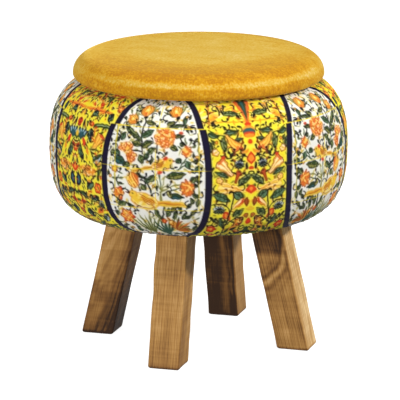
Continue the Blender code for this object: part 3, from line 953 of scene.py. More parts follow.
# right half of the other yellow panel, whose axis is on the left
def paintSecondYellow():
    axis = -halfSpan
    for _ in range(84):
        x, y = axis + random.uniform(2, 70), random.uniform(-128, -74)
        length, width, turn = random.uniform(7, 16), random.uniform(2, 4), random.uniform(15, 50)
        shade = random.choice(["orange", "red", "ember", "orange", "straw", "leaf"])
        blade(x, y, length, width, turn, shade, 0.5, 0.9)
    blade(axis, -82, 40, 15, -90, "leaf", 0.8)
    blade(axis, -86, 30, 5, -90, "teal", 0.8)
    leaf(axis + 37, -96, 12, 8, 70)
    bloom(axis + 66, -83, 11, 13, 5, "red", "orange", "gold", "straw")
    stem([(axis + 2, -76), (axis + 26, -79), (axis + 54, -75)], 3.6, "orange")
    stem([(axis + 8, -74.6), (axis + 26, -77), (axis + 50, -74)], 1.5, "red")
    for x, y, length, width, turn in (
        (26.5, -70.5, 12, 8, 12), (56, -69.5, 10, 9, -60), (27.6, -41, 17, 9, 82), (12.5, -14, 15, 9, 62),
        (30.5, 24.5, 13, 10, -40), (37, 43, 14, 9, -22), (15, 40, 17, 6, 14), (18, 68, 13, 11, 60),
        (28, 88, 17, 7, 140), (9, 92, 14, 7, 60), (56, 92, 15, 7, 40),
    ):
        leaf(axis + x, y, length, width, turn, "black", "jade")
    stem([(axis + 4, -33), (axis + 11, -29), (axis + 14, -20), (axis + 11, -12)], 2.2, "leaf")
    stem([(axis, -13), (axis + 5, -8), (axis + 6, -2)], 2.2)
    leaf(axis + 48.5, 70, 15, 10, -50, "leaf", "mist")
    leaf(axis + 44, -12, 17, 10, -40, "leaf", "mist")
    stem([(axis + 32, -53), (axis + 44, -59), (axis + 60, -55)], 5.6, "leaf")
    stem([(axis + 36, -55), (axis + 45, -58), (axis + 57, -56)], 1.4, "sage")
    blade(axis, -51, 11, 9, -90, "red", 0.45)
    oval(axis + 24.7, -55.6, 10.5, 6, 6, "red")
    oval(axis + 24.7, -56, 5, 2.4, 6, "orange")
    blade(axis + 9.4, -49, 12, 4.6, -90, "black")
    iris(axis + 9.6, -33, 17, 17)
    oval(axis, -40, 5, 9, 0, "gold")
    trumpet(axis + 36, -24, 24, 18, -58, "orange", "honey", "red")
    blade(axis + 14, -36, 13, 5.6, 62, "red")
    blade(axis + 22, -27, 14, 4, 70, "orange")
    bloom(axis, -21, 13, 11, 6, "red", "orange", "red", "gold")
    oval(axis, -9, 5, 4, 0, "straw")
    bird(axis + 27, 6, 29, 8, 17, 0, "orange", "gold")
    blade(axis, 10, 12, 14, -90, "red", 0.4)
    oval(axis, 4, 4.6, 5.6, 0, "orange")
    stem([(axis + 46, -1), (axis + 47, 8), (axis + 45, 15)], 4.6, "leaf")
    oval(axis + 6.6, 21.6, 11.5, 15.5, 8, "navy")
    oval(axis + 6.6, 21.6, 6.4, 9.6, 8, "teal")
    bloom(axis + 44, 27.5, 14, 17, 6, "red", "orange", "red", "gold")
    stem([(axis, 40), (axis + 8, 35), (axis + 15, 40)], 3.6, "leaf")
    blade(axis + 18, 50, 16, 6.4, 168, "red")
    oval(axis + 4, 55, 12, 4, 0, "orange")
    aster(axis + 47.6, 50, 11, 14.5)
    blade(axis + 33, 66, 18, 8, -32, "orange", 0.55)
    blade(axis + 36, 64, 12, 4, -32, "red", 0.55)
    discs(axis, 69, (10.5, "brown"), (6.6, "orange"), (3.4, "red"))
    bloom(axis + 30, 106, 15, 13, 6, "red", "orange", "gold", "cream")
    bloom(axis + 58, 114, 13, 12, 5, "orange", "peach", "cream", "gold")
    leaf(axis + 10, 114, 16, 8, -20)


# an oval flower with bent stripes along it, darker on one side
def stripedFlower(x, y):
    oval(x, y, 22, 18, 68, "rust")
    area, u, v = spotsNear(x, y, 12, 62)
    inside = soft((1 - np.hypot(u / 21, v / 16.6) * 2) * 8)
    stripes = np.cos(v * math.tau / 4.0 + 0.02 * u * u)
    lay(area, inside, "orange")
    lay(area, inside * ease(-v, -1, 5) * 0.8, "ember")
    lay(area, inside * (stripes > 0.2) * (v > -4.5), "straw")
    lay(area, inside * (stripes < -0.75), "ember")
    dab(area, inside * (v > 0), "amber", "straw")


# what grows in the white panel: stems, then leaves, blades of grass, flowers, birds and commas
def paintWhiteFlowers():
    for points, width, colour in (
        ([(-17, -74), (-13, -66), (-22, -58), (-17, -44), (-16, -27)], 1.8, "black"),
        ([(30, -75), (28, -68), (20, -64)], 1.6, "black"),
        ([(-29, -67), (-24, -64), (-20, -62)], 1.4, "leaf"),
        ([(4, -41), (3, -36), (4, -30)], 1.6, "black"),
        ([(44, -26), (42, -18), (32, -8)], 1.5, "leaf"),
        ([(57, -22), (46, -16), (33, -9)], 1.4, "leaf"),
        ([(-30, -4), (-14, -3), (-8, 12), (-3, 24)], 1.9, "leaf"),
        ([(-12, 4), (-8, 12), (-4, 23)], 1.6, "black"),
        ([(8, -2), (9, 10), (10, 19)], 1.3, "leaf"),
        ([(3, 1), (5, 12), (9, 19)], 1.2, "olive"),
        ([(15, 0), (13, 12), (10, 19)], 1.2, "olive"),
        ([(8, 22), (20, 18), (30, 8), (38, 11)], 1.8, "olive"),
        ([(22, 21), (30, 17), (37, 15)], 1.5, "leaf"),
        ([(14, 38), (13, 48), (10, 60)], 1.8, "black"),
        ([(-55, -40), (-57, -28), (-52, -18)], 1.3, "leaf"),
        ([(-16, -30), (-26, -31), (-30, -30)], 1.8, "black"),
        ([(-50, 18), (-54, 10), (-50, 4)], 1.3, "leaf"),
        ([(-57, -60), (-53, -50), (-58, -42), (-54, -32)], 1.5, "olive"),
        ([(-54, -8), (-58, 2), (-53, 12), (-57, 20)], 1.5, "olive"),
        ([(-54, 36), (-51, 46), (-56, 54), (-50, 64)], 1.5, "olive"),
        ([(58, -56), (62, -46), (57, -36), (61, -24)], 1.5, "olive"),
        ([(61, 0), (57, 10), (62, 20), (58, 30)], 1.5, "olive"),
        ([(22, -20), (27, -14), (24, -9), (30, -7)], 1.5, "moss"),
        ([(10, 20), (8, 28), (12, 34), (9, 40)], 2.4, "olive"),
        ([(20, 10), (14, 14), (11, 20)], 1.6, "olive"),
    ):
        stem(points, width, colour)
    for x, y, length, width, turn in (
        (-8.7, -68.5, 13, 6, 8), (21, -69, 10.5, 6.5, -20), (30, -65, 20, 4.6, -12),
        (40, -73.5, 12, 6, -80), (-32, -53, 25, 6.6, 212), (-24, -47.5, 13, 5.5, 205),
        (-10.5, -53.5, 16, 8.6, -32), (-10, -40, 14, 8, -34), (-24.5, -39.5, 13, 7.4, 190),
        (-3.5, -32, 12, 7, -40), (-17, -20, 11, 8, 60), (-10, -24, 9, 5.6, 120), (-45, -48, 10, 6.6, -70),
        (-52, -43, 8, 5, -60), (-58, -25, 9, 6, -20), (-38, -11.5, 10, 7.4, -30), (-52, -26, 9, 6, 40),
        (34, -20, 9, 7, 40), (46, -15, 10, 7.5, 70), (57, -21, 9, 4.4, -20), (-8, 7, 10, 6.5, -60),
        (-1.6, 4, 9, 7.5, -30), (-13, 17, 8, 6.6, 50), (-19, 2, 10, 4, 30), (30, -1, 23, 9, -10),
        (53, 4, 10, 6.6, -40), (55, 12, 8, 5, 20), (56, 26, 9, 6, 40), (51, 33, 8, 5, 60),
        (-46, 42, 12.5, 8, -20), (53, 49, 13, 5, -50), (46, 56, 12, 4.6, -30), (34, -52, 11, 5, -12),
        (38, -42, 8, 5, 20), (26, -37, 11, 6.4, 25), (-57, 58, 8, 5, -70), (56, -47, 8, 4, -60),
        (58, 4, 10, 5, 80), (52, 20, 11, 6, 60), (58, 36, 10, 5, 100), (47, 40, 11, 5, -50),
        (34, 42, 12, 6, 70), (26, 44, 11, 5, -60), (58, -10, 9, 5, -70), (-54, 34, 9, 5, 70),
        (-34, 44, 10, 5, 20), (18.5, 51, 13, 6, -80), (28, 53, 13, 6, -70), (40, 54, 12, 5, -60),
        (5, 55, 18, 5.6, 60), (42, 84, 14, 6, -60), (-30, 84, 14, 6, -110), (54, 76, 12, 5, -70),
        (-52, 82, 12, 5, 100), (28, 92, 12, 6, 30),
    ):
        leaf(x, y, length, width, turn, "leaf", random.choice(["fern", "olive", "jade", "fern"]))
    leaf(-48, -15.5, 15, 11, 20, "leaf", "teal")
    leaf(30, 27, 18, 7.6, 5, "leaf", "teal")
    leaf(21, 24, 9, 6.5, 60, "olive", "straw")
    for x, y, length, turn in (
        (-43, 2, 9, 200), (-41, 8, 10, 185), (-42, 14, 10, 165), (-38, 19, 8, 140), (40, -40, 9, -125),
        (43, -41, 10, -100), (47, -40, 9, -65), (50, -37, 8, -35), (38, -36, 8, -150), (-54, 10, 7, 190),
        (-22, -98, 7, -120), (-9, -97, 8, -60), (-15, -99, 6, -85), (20, -98, 8, -120), (30, -99, 7, -80),
        (38, -93, 8, -35), (-41, -78, 8, -110), (-36, -80, 7, -70), (54, 62, 9, -35), (-52, 72, 9, 160),
    ):
        blade(x, y, length, 2.4, turn, "leaf")
        blade(x, y, length * 0.8, 0.9, turn, "olive")
    tulip(-17.3, -75.5, 20, 22, -92)
    tulip(30.5, -76.5, 18.5, 22, -112)
    tulip(-28.5, -66.5, 13, 18, 212, "leaf")
    cluster(14.7, -49, 26, 23, 74)
    cluster(-39.5, -34, 19, 12, 38)
    cluster(-31, -23, 13, 13, 34)
    carnation(44.3, -32.5, 15, 17, 7, ("ember", "orange", "amber"))
    oval(35.5, -57, 5.4, 3.6, 0, "red")
    bird(11.0, -13.8, 31, -9, 37, -6)
    oval(16.5, -22.6, 6, 4.4, -20, "red")
    bloom(-56, -3.5, 10.5, 10.5, 5, "orange", "gold", "orange", "straw")
    stripedFlower(-29, 8)
    oval(8.3, -4.3, 6.4, 4.2, 0, "red")
    oval(6.5, -5, 2.4, 2.2, 0, "orange")
    carnation(45, 15.7, 21, 24.5, 11, ("ember", "orange", "ember", "amber", "ember"))
    bird(-13, 36.0, 46, 191, 49, -9)
    carnation(-50, 28, 18.5, 19.5, 5, ("red", "orange", "gold"))
    carnation(-41.5, 61, 23, 25, 6, ("red", "amber", "honey", "cream"))
    for turn, length in ((-134, 44), (-124, 40), (-113, 44), (-102, 38), (-92, 42), (-80, 36), (-68, 40)):
        blade(-7, 93, length, 2.7, turn, "olive")
        blade(-7, 93, length * 0.9, 1.1, turn + 1.5, "leaf")
    for turn, length in ((-131, 34), (-118, 42), (-106, 36), (-96, 44), (-85, 34), (-73, 42)):
        blade(16, 97, length, 3.3, turn, "leaf")
        blade(16, 97, length * 0.9, 1.2, turn + 1, "teal")
    for k, turn in enumerate(range(-112, 20, 12)):
        blade(27, 82, 27 - 4 * (k % 3), 3.4, turn, ("rust", "olive", "orange", "leaf")[k % 4], 0.6)
        blade(27, 82, 23 - 4 * (k % 3), 1.3, turn + 2, ("red", "gold", "ember")[k % 3], 0.6)
    bloom(12, 64, 9, 9, 5, "red", "red", "orange", "gold")
    bloom(22, 66, 8.5, 10, 5, "orange", "gold", "straw", "cream")
    for x, y, turn in (
        (-27, -90, 200), (-29, -84, 160), (5, -73, 330), (14, -72, 200), (51, -64, 20), (17, -88, 160),
        (18, -80, 200), (-48, -59, 250), (-39, -60, 190), (49, -48, 0), (39, -43, 210), (53, -43, 320),
        (-55, -49, 20), (-59, -35, 340), (-61, -21, 10), (62, -28, 90), (57, -18, 300), (62, -6, 80),
        (-22, -9, 20), (-10, 0, 100), (-19, 2, 220), (-62, 16, 30), (-47, 14, 180), (-43, 22, 340),
        (-60, 33, 0), (-50, 38, 250), (-36, 43, 60), (19, 14, 20), (-2, 27, 300), (47, 41, 200),
        (35, 50, 300), (30, 50, 240), (63, 45, 120), (63, 21, 60), (62, 6, 100),
    ):
        tick(x, y, 6.4, turn)


# depth inside the white panel, from the superellipse's value over its slope;
# the part above the first joint is set over
def whiteDepth():
    half = printing["whiteHalf"]
    above = (down < printing["joints"][0][0])[:, None]
    x = abs(across[None, :] - printing["jog"] * above) / half / np.where(above, printing["topShare"], 1)
    depth = np.zeros((len(down), len(across)))
    for key, rows in (("whiteUp", down < 0), ("whiteDown", down >= 0)):
        reach, power, acrossPower = printing[key]
        y = abs(down[rows])[:, None] / reach
        slopeX = acrossPower * x[rows] ** (acrossPower - 1) / half
        slopeY = power * y ** (power - 1) / reach
        inside = 1 - x[rows] ** acrossPower - y**power
        depth[rows] = inside / np.maximum(np.hypot(slopeX, slopeY), 1e-3)
    return depth


# sets the white panel inside its navy border, with one lower corner rounded off
def setWhite(white, depth):
    lay(everywhere, soft(depth + printing["border"]), "navy")
    fromX, fromY, wide, high = printing["whiteCorner"]
    x, y = across[None, :] - fromX, down[:, None] - fromY
    corner = soft((np.hypot(x / wide, y / high) - 1) * 20) * (x > 0) * (y > 0)
    cloth[:] += (soft(depth) * (1 - corner))[..., None] * (white - cloth)


# the lines between the tiles: level ones all round, upright ones in the white panel alone
def paintJoints(depth):
    half, border = printing["jointWidth"] / 2, -printing["border"]
    worn = 0.45 + 0.55 * ease(mottle(6.0, 17), 0.25, 0.6)
    for y, onWhite, onBorder in printing["joints"]:
        clear = np.where(depth > 0, onWhite, np.where(depth > border, onBorder, 0.4))
        lay(everywhere, soft(half - abs(down - y))[:, None] * worn * clear, "grout")
    top, low = printing["joints"][0][0], printing["joints"][-1][0]
    for x, start, end in ((-55.5, top, low), (4.5, -120, top), (2.6, -32, low), (60, top, low)):
        line = soft(half - abs(across - x))[None, :] * ((down > start) & (down < end))[:, None]
        lay(everywhere, line * worn * (depth > 0) * 0.85, "grout")
    dark = soft(0.7 - abs(across - halfSpan + 55))[None, :] * (down < top)[:, None]
    lay(everywhere, dark * (depth < border) * 0.8, "rust")


# moves what is painted a little this way and that, so that no line stays ruled
def wobble(seed):
    grain, reach = printing["wobble"]
    row, column = np.indices(cloth.shape[:2]).astype(float)
    row += (mottle(grain, seed) - 0.5) * 2 * reach / (down[1] - down[0])
    column += (mottle(grain, seed + 1) - 0.5) * 2 * reach / (across[1] - across[0])
    row, column = row.clip(0, len(down) - 1.001), column.clip(0, len(across) - 1.001)
    r, c = row.astype(int), column.astype(int)
    below, beside = (row - r)[..., None], (column - c)[..., None]
    upper = cloth[r, c] * (1 - beside) + cloth[r, c + 1] * beside
    lower = cloth[r + 1, c] * (1 - beside) + cloth[r + 1, c + 1] * beside
    cloth[:] = upper * (1 - below) + lower * below


# the inks run: their colour, though not their light and dark, spreads to the spots around
def bleed(reach, share):
    light = (cloth @ (0.299, 0.587, 0.114))[..., None]
    colour = cloth - light
    for axis in (0, 1):
        places = np.arange(cloth.shape[axis])
        near = [(places + k).clip(0, len(places) - 1) for k in range(-reach, reach + 1)]
        colour = np.mean([np.take(colour, spots, axis) for spots in near], axis=0)
    cloth[:] = (light + share * colour + (1 - share) * (cloth - light)).clip(0, 1)


# the yellow panels, then the white one by itself, set in over them, then bleeding and joints
def paintPrint():
    paintGround()
    ground = cloth.copy()
    warm, dark = ("orange", "gold", "honey", "olive", "rust", "gold"), ("black", "leaf", "olive", "brown")
    for left, right, seed, warmCount, darkCount, lowCount in (
        (70, halfSpan, 61, 105, 120, 20),
        (-halfSpan, -70, 71, 30, 270, 110),
    ):
        strew(warmCount, left, right, (5, 11), (1.6, 3.4), warm, seed)
        strew(darkCount, left, right, (4, 9), (1.8, 3.2), dark, seed + 1)
        strew(lowCount, left, right, (5, 11), (2.2, 4.2), dark, seed + 4, 82)
    paintFirstYellow()
    paintSecondYellow()
    strew(175, -halfSpan, -70, (3.5, 7), (1.4, 2.6), ("black", "leaf", "black", "brown"), 73)
    strew(80, -halfSpan, -72, (4, 8), (1.6, 3.0), ("ember", "orange", "red", "orange"), 74)
    depth = whiteDepth()
    scatterSprigs(ground, depth < -printing["border"] - 3, 8.0, 51, ("orange", "red", "", "", "gold"))
    scatterTicks(ground, depth < -printing["border"] - 1, 5.4, (4.2, 6.2), 31)
    wobble(91)
    yellowCloth = cloth.copy()
    cloth[:] = inks["white"]
    lay(everywhere, ease(mottle(7.0, 8), 0.5, 0.95) * 0.2, "cream")
    strew(440, -70, 70, (5, 10), (1.4, 2.6), ("olive", "moss", "gold", "moss", "corn"), 75)
    ground = cloth.copy()
    paintWhiteFlowers()
    scatterSprigs(ground, depth > 4, 9.2, 52, ("amber", "gold", "gold", "red"))
    scatterTicks(ground, depth > 2.8, 7.4, (4.6, 6.4), 32)
    wobble(93)
    whiteCloth = cloth.copy()
    cloth[:] = yellowCloth
    setWhite(whiteCloth, depth)
    bleed(*printing["bleed"])
    paintJoints(depth)


paintPrint()
print("print painted,", cloth.shape[1], "by", cloth.shape[0], "spots")


# plain weave: two sines across each other, uneven in places, under the print
def printedCotton():
    finish = {"Roughness": 0.9, "Sheen Weight": 0.03, "Sheen Roughness": 0.5, "Specular IOR Level": 0.12}
    material, tree, shader = newMaterial("printedCotton", finish)
    threads = addNode(tree, "UVMap", uv_map="threads").outputs["UV"]
    split = addNode(tree, "SeparateXYZ", {"Vector": threads})
    turns = math.tau / cover["threadPitch"]
    across, along = (addMath(tree, "MULTIPLY", split.outputs[axis], turns) for axis in "XY")
    weave = addMath(tree, "MULTIPLY", addMath(tree, "SINE", across), addMath(tree, "SINE", along))
    slub = addNoise(tree, threads, 420.0, 3.0)
    height = addMath(tree, "MULTIPLY_ADD", slub, 0.8, weave)
    # the weave's colour follows its height: painted shade in its hollows, a slight painted highlight on its
    # tops
    shade = addRange(tree, height, -0.6, 1.4, 0.90, 1.04)
    colours = {0: 1.0, 6: readLayer(tree, "print", "Color"), 7: shade}  # factor, first and second colour
    tinted = addNode(tree, "Mix", colours, data_type="RGBA", blend_type="MULTIPLY").outputs[2]
    dress(tree, shader, tinted, height, 0.3, 0.00025)
    return material


# the closed shell: the bulge, the edges turned in over and under the drum, and the lining side
def coverShell():
    line = (coverRadius, coverHeight, *lineNormal(coverRadius, coverHeight))
    seam = np.exp(-((np.abs(np.abs(coverBearing) - math.pi) * cover["radius"] / cover["seamHalf"]) ** 2))
    stand = coverStand - cover["seamDepth"] * seam[None, :]
    outside = standOff(line, stand, coverBearing)
    keep = np.linspace(cover["rows"] - 1, 0, cover["innerRows"]).astype(int)
    lining = standOff([values[keep] for values in line], stand[keep] - cover["cloth"], coverBearing)
    low, high, thick = cover["baseHeight"], cover["topHeight"], cover["cloth"]
    base, top = cover["baseHem"], cover["topHem"]
    under = turned((*base, *base[:0:-1]), (low,) * 3 + (low + thick,) * 2, coverBearing)
    over = turned((*top, *top[::-1]), (high - thick,) * 2 + (high,) * 2, coverBearing)
    return np.concatenate((outside, under, lining, over))


# the print outside, folded over in mirrored pairs of panels, and plain white cloth inside
def coverColours(count):
    rows, columns, step = cover["rows"], cover["panelColumns"], printing["repeat"]
    folded = np.abs(np.mod(np.degrees(coverBearing) + step, 4 * step) - 2 * step)
    place = ((2 - folded / step) * columns).clip(0, 2 * columns - 1e-6)
    column = place.astype(int)
    beside = (place - column)[None, :, None]
    printed = (cloth[:, column] * (1 - beside) + cloth[:, column + 1] * beside).clip(0, 1)
    painted = np.ones((count, coverColumns, 4))
    painted[:rows, :, :3] = linear(printed)
    painted[rows:, :, :3] = linear(inks["white"])
    painted[rows : rows + 3, :, :3] = painted[rows - 1, :, :3]
    return painted


# two flat maps: one that holds each half of the shell once, for baking, and one in metres of thread
def addCoverMaps(mesh, count):
    rest = count - cover["rows"] + 2
    rowShare = np.concatenate((np.linspace(0, 0.8, cover["rows"]), np.linspace(0.8, 1, rest)[1:]))
    rowLength = np.concatenate((coverAt, coverAt[-1] + 0.002 * np.arange(1, rest)))
    row = np.repeat(np.arange(count), coverColumns)[:, None] + np.array([[0, 1, 1, 0]])
    first = np.tile(np.arange(coverColumns), count)[:, None]
    column = first + np.array([[0, 0, 1, 1]])
    half = coverColumns // 2
    band = first // half
    bakeX = (column - band * half) / half * 0.996 + 0.002
    bakeY = (band + rowShare[row] * 0.99 + 0.005) / 2
    addMap(mesh, "OFBake", np.stack((bakeX, bakeY), -1))
    threadX = column / coverColumns * math.tau * cover["radius"]
    addMap(mesh, "threads", np.stack((threadX, rowLength[row]), -1))


# the shell with its print and its maps
def buildCover():
    grid = coverShell()
    count = len(grid)
    mesh = makeMesh("printedCover", grid.reshape(-1, 3), ringQuads(count, coverColumns, True))
    addLayer(mesh, "print", "FLOAT_COLOR", coverColours(count))
    addCoverMaps(mesh, count)
    piece = addPiece("printedCover", mesh, printedCotton(), "body_cover")


buildCover()
print("printed cover built")


# velvet seat pad
seat = {
    "radius": 0.168,
    "low": 0.3639,
    "high": 0.3993,
    "crown": 0.003,
    "shoulder": 0.027,
    "lip": 0.0055,
    "edge": 0.122,
    "cloth": 0.0015,
    "patchSide": 97,
    "patchReach": 0.128,
    "skirtRows": 74,
    "simSide": 49,
    "simRows": 26,
    "simSlack": 1.004,
    "simulation": {"pressure": 3.0, "frames": 16, "stiffness": 12.0, "bending": 1.5},
    "heldBelow": 0.0004,
    "simCap": 0.004,
    "keepSwell": 0.25,
    "smoothing": 96,  # points of the simulation that each lift is the mean of
    "shadeAhead": 73.0,  # bearings where the painted shade is darkest and the painted highlight lightest, clockwise from +X
    "highlightSide": 62.0,
    "topTone": 0.375,
    "shoulderShade": (0.07, 0.22),  # painted shade: darker all round, and darker still ahead
    "shoulderFrom": (0.080, 0.124),
    "bandHighlight": (0.08, 0.22),  # painted highlight: lighter all round, and lighter still on the lit side
    "bandHeights": (0.3890, 0.3830, 0.3812, 0.3770),
    "rimHighlight": (0.01, 0.3785, 0.370),  # painted light low on the rim: how much lighter, and between which heights
}


# the pad's line from its middle over the crown, down the shoulder, round the lip and in under the board
def seatLine(inset):
    angle = np.linspace(0, math.pi / 2, 400)
    share = np.linspace(0, 1, 400)
    start, lipStart = seat["radius"] - seat["shoulder"], seat["radius"] - seat["lip"]
    outer, widest = seat["radius"] - inset, seat["low"] + seat["lip"]
    brow, low = seat["high"] - seat["crown"] - inset, seat["low"] + inset
    radius = [start * share, start + (outer - start) * np.sin(angle)]
    radius += [lipStart + (outer - lipStart) * np.cos(angle), np.linspace(lipStart, seat["edge"], 100)]
    height = [brow + seat["crown"] * (1 - share**2), widest + (brow - widest) * np.cos(angle)]
    height += [widest - (widest - low) * np.sin(angle), np.full(100, low)]
    radius, height = np.concatenate(radius), np.concatenate(height)
    return lineLengths(radius, height, 1e-9), radius, height


# a square grid pressed into a disc, ring by ring: how far out each point lies, its bearing,
# and its rim in order
def discGrid(side):
    line = np.linspace(-1, 1, side)
    a, b = np.meshgrid(line, line)
    far = np.maximum(abs(a), abs(b))
    with np.errstate(divide="ignore", invalid="ignore"):
        way = np.where(abs(a) >= abs(b), math.pi / 4 * b / a, math.pi / 2 - math.pi / 4 * a / b)
    way = np.where(np.where(abs(a) >= abs(b), a, b) < 0, way + math.pi, way)
    way = np.nan_to_num(way)
    index = np.arange(side * side).reshape(side, side)
    rim = np.concatenate((index[0, :-1], index[:-1, -1], index[-1, :0:-1], index[:0:-1, 0]))
    return far.ravel(), way.ravel(), rim


# points at a length along the seat's line, on a bearing
def seatPoints(line, at, way):
    return polar(np.interp(at, line[0], line[1]), way, np.interp(at, line[0], line[2]))


# a disc and rows of skirt below it: length along the line, bearing, quads, and the lowest row
def seatSheet(line, side, skirt):
    far, way, rim = discGrid(side)
    rowAt = np.linspace(seat["patchReach"], line[0][-1], skirt + 1)[1:]
    at = np.concatenate((far * seat["patchReach"], np.repeat(rowAt, len(rim))))
    first = np.concatenate((rim[None], side * side + np.arange(skirt * len(rim)).reshape(skirt, -1)))
    beside = np.roll(first, -1, axis=1)
    quads = np.stack((first[:-1], first[1:], beside[1:], beside[:-1]), -1).reshape(-1, 4)
    way = np.concatenate((way, np.tile(way[rim], skirt)))
    return at, way, np.concatenate((patchQuads(side), quads)), first[-1]


# how far the simulated cloth lifts, evened out along the line
def simulatedLift(line, at):
    simAt, simWay, quads, _ = seatSheet(line, seat["simSide"], seat["simRows"])
    start = seatPoints(line, simAt, simWay)
    held = np.interp(simAt, line[0], line[2]) < seat["low"] + seat["heldBelow"]
    shaped = swell(start, quads, held, start * seat["simSlack"], **seat["simulation"])
    rise = np.clip(shaped - start, -seat["simCap"], seat["simCap"])[:, 2] * seat["keepSwell"]
    order = np.argsort(simAt)
    even = np.convolve(rise[order], np.ones(seat["smoothing"]) / seat["smoothing"], "same")
    return np.interp(at, simAt[order], even)


# painted shade and highlights: paler on top, dark round the front shoulder, a light band above the lower rim
def seatSheenAndShade(points, way):
    radius, height = np.hypot(points[:, 0], points[:, 1]), points[:, 2]
    ahead = np.cos(way + math.radians(seat["shadeAhead"]))
    beside = np.cos(way + math.radians(seat["highlightSide"]))
    (dark, darkAhead), (light, lightBeside) = seat["shoulderShade"], seat["bandHighlight"]
    top, full, least, low = seat["bandHeights"]
    band = ease(-height, -top, -full) - ease(-height, -least, -low)
    rim, rimTop, rimLow = seat["rimHighlight"]
    toneSheenAndShade = seat["topTone"] - (dark + darkAhead * ease(ahead, -0.1, 0.8)) * ease(radius, *seat["shoulderFrom"])
    toneSheenAndShade += (light + lightBeside * ease(beside, 0.1, 0.9)) * band
    return toneSheenAndShade + rim * ease(-height, -rimTop, -rimLow)


# velvet: golds brushed into each other, painted shade and highlights from its layer, and a soft sheen
def mustardVelvet():
    finish = {
        "Roughness": 0.92,
        "Sheen Weight": 0.42,
        "Sheen Roughness": 0.42,
        "Sheen Tint": (*linear(ink("FFE070")), 1),
        "Specular IOR Level": 0.12,
    }
    material, tree, shader = newMaterial("mustardVelvet", finish)
    place = objectPlace(tree)
    strokes = addNoise(tree, stretched(tree, place, (30.0, 46.0, 46.0), 0.3), 1.0, 4.0, 0.6, 0.6)
    tufts = addNoise(tree, place, 330.0, 3.0)
    pile = addNode(tree, "UVMap", uv_map="pile").outputs["UV"]
    ribs = addNoise(tree, stretched(tree, pile, (620.0, 70.0, 1.0)))
    # tone carrying the painted shade and highlights
    tone = readLayer(tree, "toneSheenAndShade")
    for field, share in ((strokes, 0.5), (tufts, 0.85), (ribs, 0.3)):
        tone = addSwing(tree, tone, field, share)
    colour = addRamp(tree, tone, ((0.0, "B27612"), (0.2, "C89114"), (0.42, "CFA842"), (0.7, "DDC07A")))
    height = addMath(tree, "ADD", tufts, addMath(tree, "MULTIPLY", ribs, 0.7))
    dress(tree, shader, colour, height, 0.35, 0.0006)
    return material


# the pad's sheet and its lining, a cloth's thickness inside it, joined by a hem
def buildSeat():
    line, inner = seatLine(0.0), seatLine(seat["cloth"])
    at, way, quads, edge = seatSheet(line, seat["patchSide"], seat["skirtRows"])
    lift = simulatedLift(line, at)
    points = seatPoints(line, at, way)
    points[:, 2] += lift
    lining = seatPoints(inner, at * inner[0][-1] / line[0][-1], way)
    lining[:, 2] += np.minimum(lift, 0)
    count = len(points)
    beside = np.roll(edge, -1)
    hem = np.stack((edge, edge + count, beside + count, beside), -1)
    allQuads = np.concatenate((quads, quads[:, ::-1] + count, hem))
    mesh = makeMesh("velvetSeat", np.concatenate((points, lining)), allQuads)
    # tone with painted shade and highlights, on both sheets
    addLayer(mesh, "toneSheenAndShade", "FLOAT", np.tile(seatSheenAndShade(points, way), 2))
    full = math.tau * seat["radius"]
    pileX = (np.tile(way, 2) * seat["radius"])[allQuads]
    pileX += np.where(pileX.max(1, keepdims=True) - pileX > full / 2, full, 0)
    addMap(mesh, "pile", np.stack((pileX, np.tile(at, 2)[allQuads]), -1))
    piece = addPiece("velvetSeat", mesh, mustardVelvet(), "seat_cover")


buildSeat()
print("velvet seat built")


# splayed legs
leg = {
    "height": 0.178,
    "side": 0.043,
    "splay": 12.9,
    "footRadius": 0.13877,
    "corner": 0.0021,
    "ease": 0.0032,
    "cornerSteps": 6,
    "faceSteps": 24,
    "rows": 110,
    "unevenness": 0.00022,
    "ringPitch": 0.0027,
    "footEdge": (0.36, 0.006),  # how much darker the foot's edge is, and how high up
    "flameHeart": 0.30,
    "flameBands": (  # how far out, half width, how dark
        (0.80, 0.04, 0.3),
        (0.93, 0.05, 1.0),
        (1.03, 0.05, -0.7),
        (1.13, 0.05, 0.7),
        (1.28, 0.05, 0.3),
    ),
    # the back post's inner face, in shade under the stool, is painted darkest
    # heart: the middle of the tree across the post, and how it drifts along it
    # flame: an oval where the grain runs round a knot: its middle across and along, its two half widths,
    # how dark, on which face
    # streak: a pale streak along the post: on which face, where across it, its half width, how pale
    # stains with painted shade in them: outer face, face on its left, inner face, face on its right
    # deepens: across x, across y, towards the foot and from what height, along the corners, in patches
    # head: a painted shadow on the upper end: on which face, from how far along, how dark
    "legs": {
        "right": {
            "bearing": 0.0,
            "heart": (-0.075, 0.030, 0.02),
            "flame": (-0.030, 0.166, 0.050, 0.073, 0.30, 3),
            "streak": (3, 0.010, 0.006, 0.03),
            "stainsAndShade": (0.11, 0.44, 0.50, 0.44),
            "deepens": (0.00, 0.00, -0.02, 0.05, 0.05, 0.05),
            # a painted shadow on the upper end of its front face
            "head": (3, 0.133, 0.28),
        },
        "back": {
            "bearing": 90.0,
            "heart": (0.052, 0.006, 0.02),
            "streak": (2, -0.008, 0.006, 0.22),
            "stainsAndShade": (0.53, 0.57, 1.00, 0.40),
            "deepens": (0.00, 0.03, 0.10, 0.06, 0.03, 0.03),
        },
        "left": {
            "bearing": 180.0,
            "heart": (0.016, -0.058, 0.04),
            "flame": (0.022, 0.130, 0.036, 0.060, 0.06, 1),
            "streak": (1, 0.000, 0.006, 0.04),
            "stainsAndShade": (0.48, 0.41, 0.37, 0.50),
            "deepens": (-0.20, 0.00, 0.44, 0.12, 0.12, 0.045),
        },
        "front": {
            "bearing": 270.0,
            "heart": (0.012, -0.085, 0.02),
            "streak": (0, -0.014, 0.004, 0.04),
            "stainsAndShade": (0.39, 0.38, 0.42, 0.37),
            # its corners are painted a little lighter, a painted highlight on their rounding
            "deepens": (0.00, 0.00, 0.10, 0.05, -0.04, 0.03),
        },
    },
}


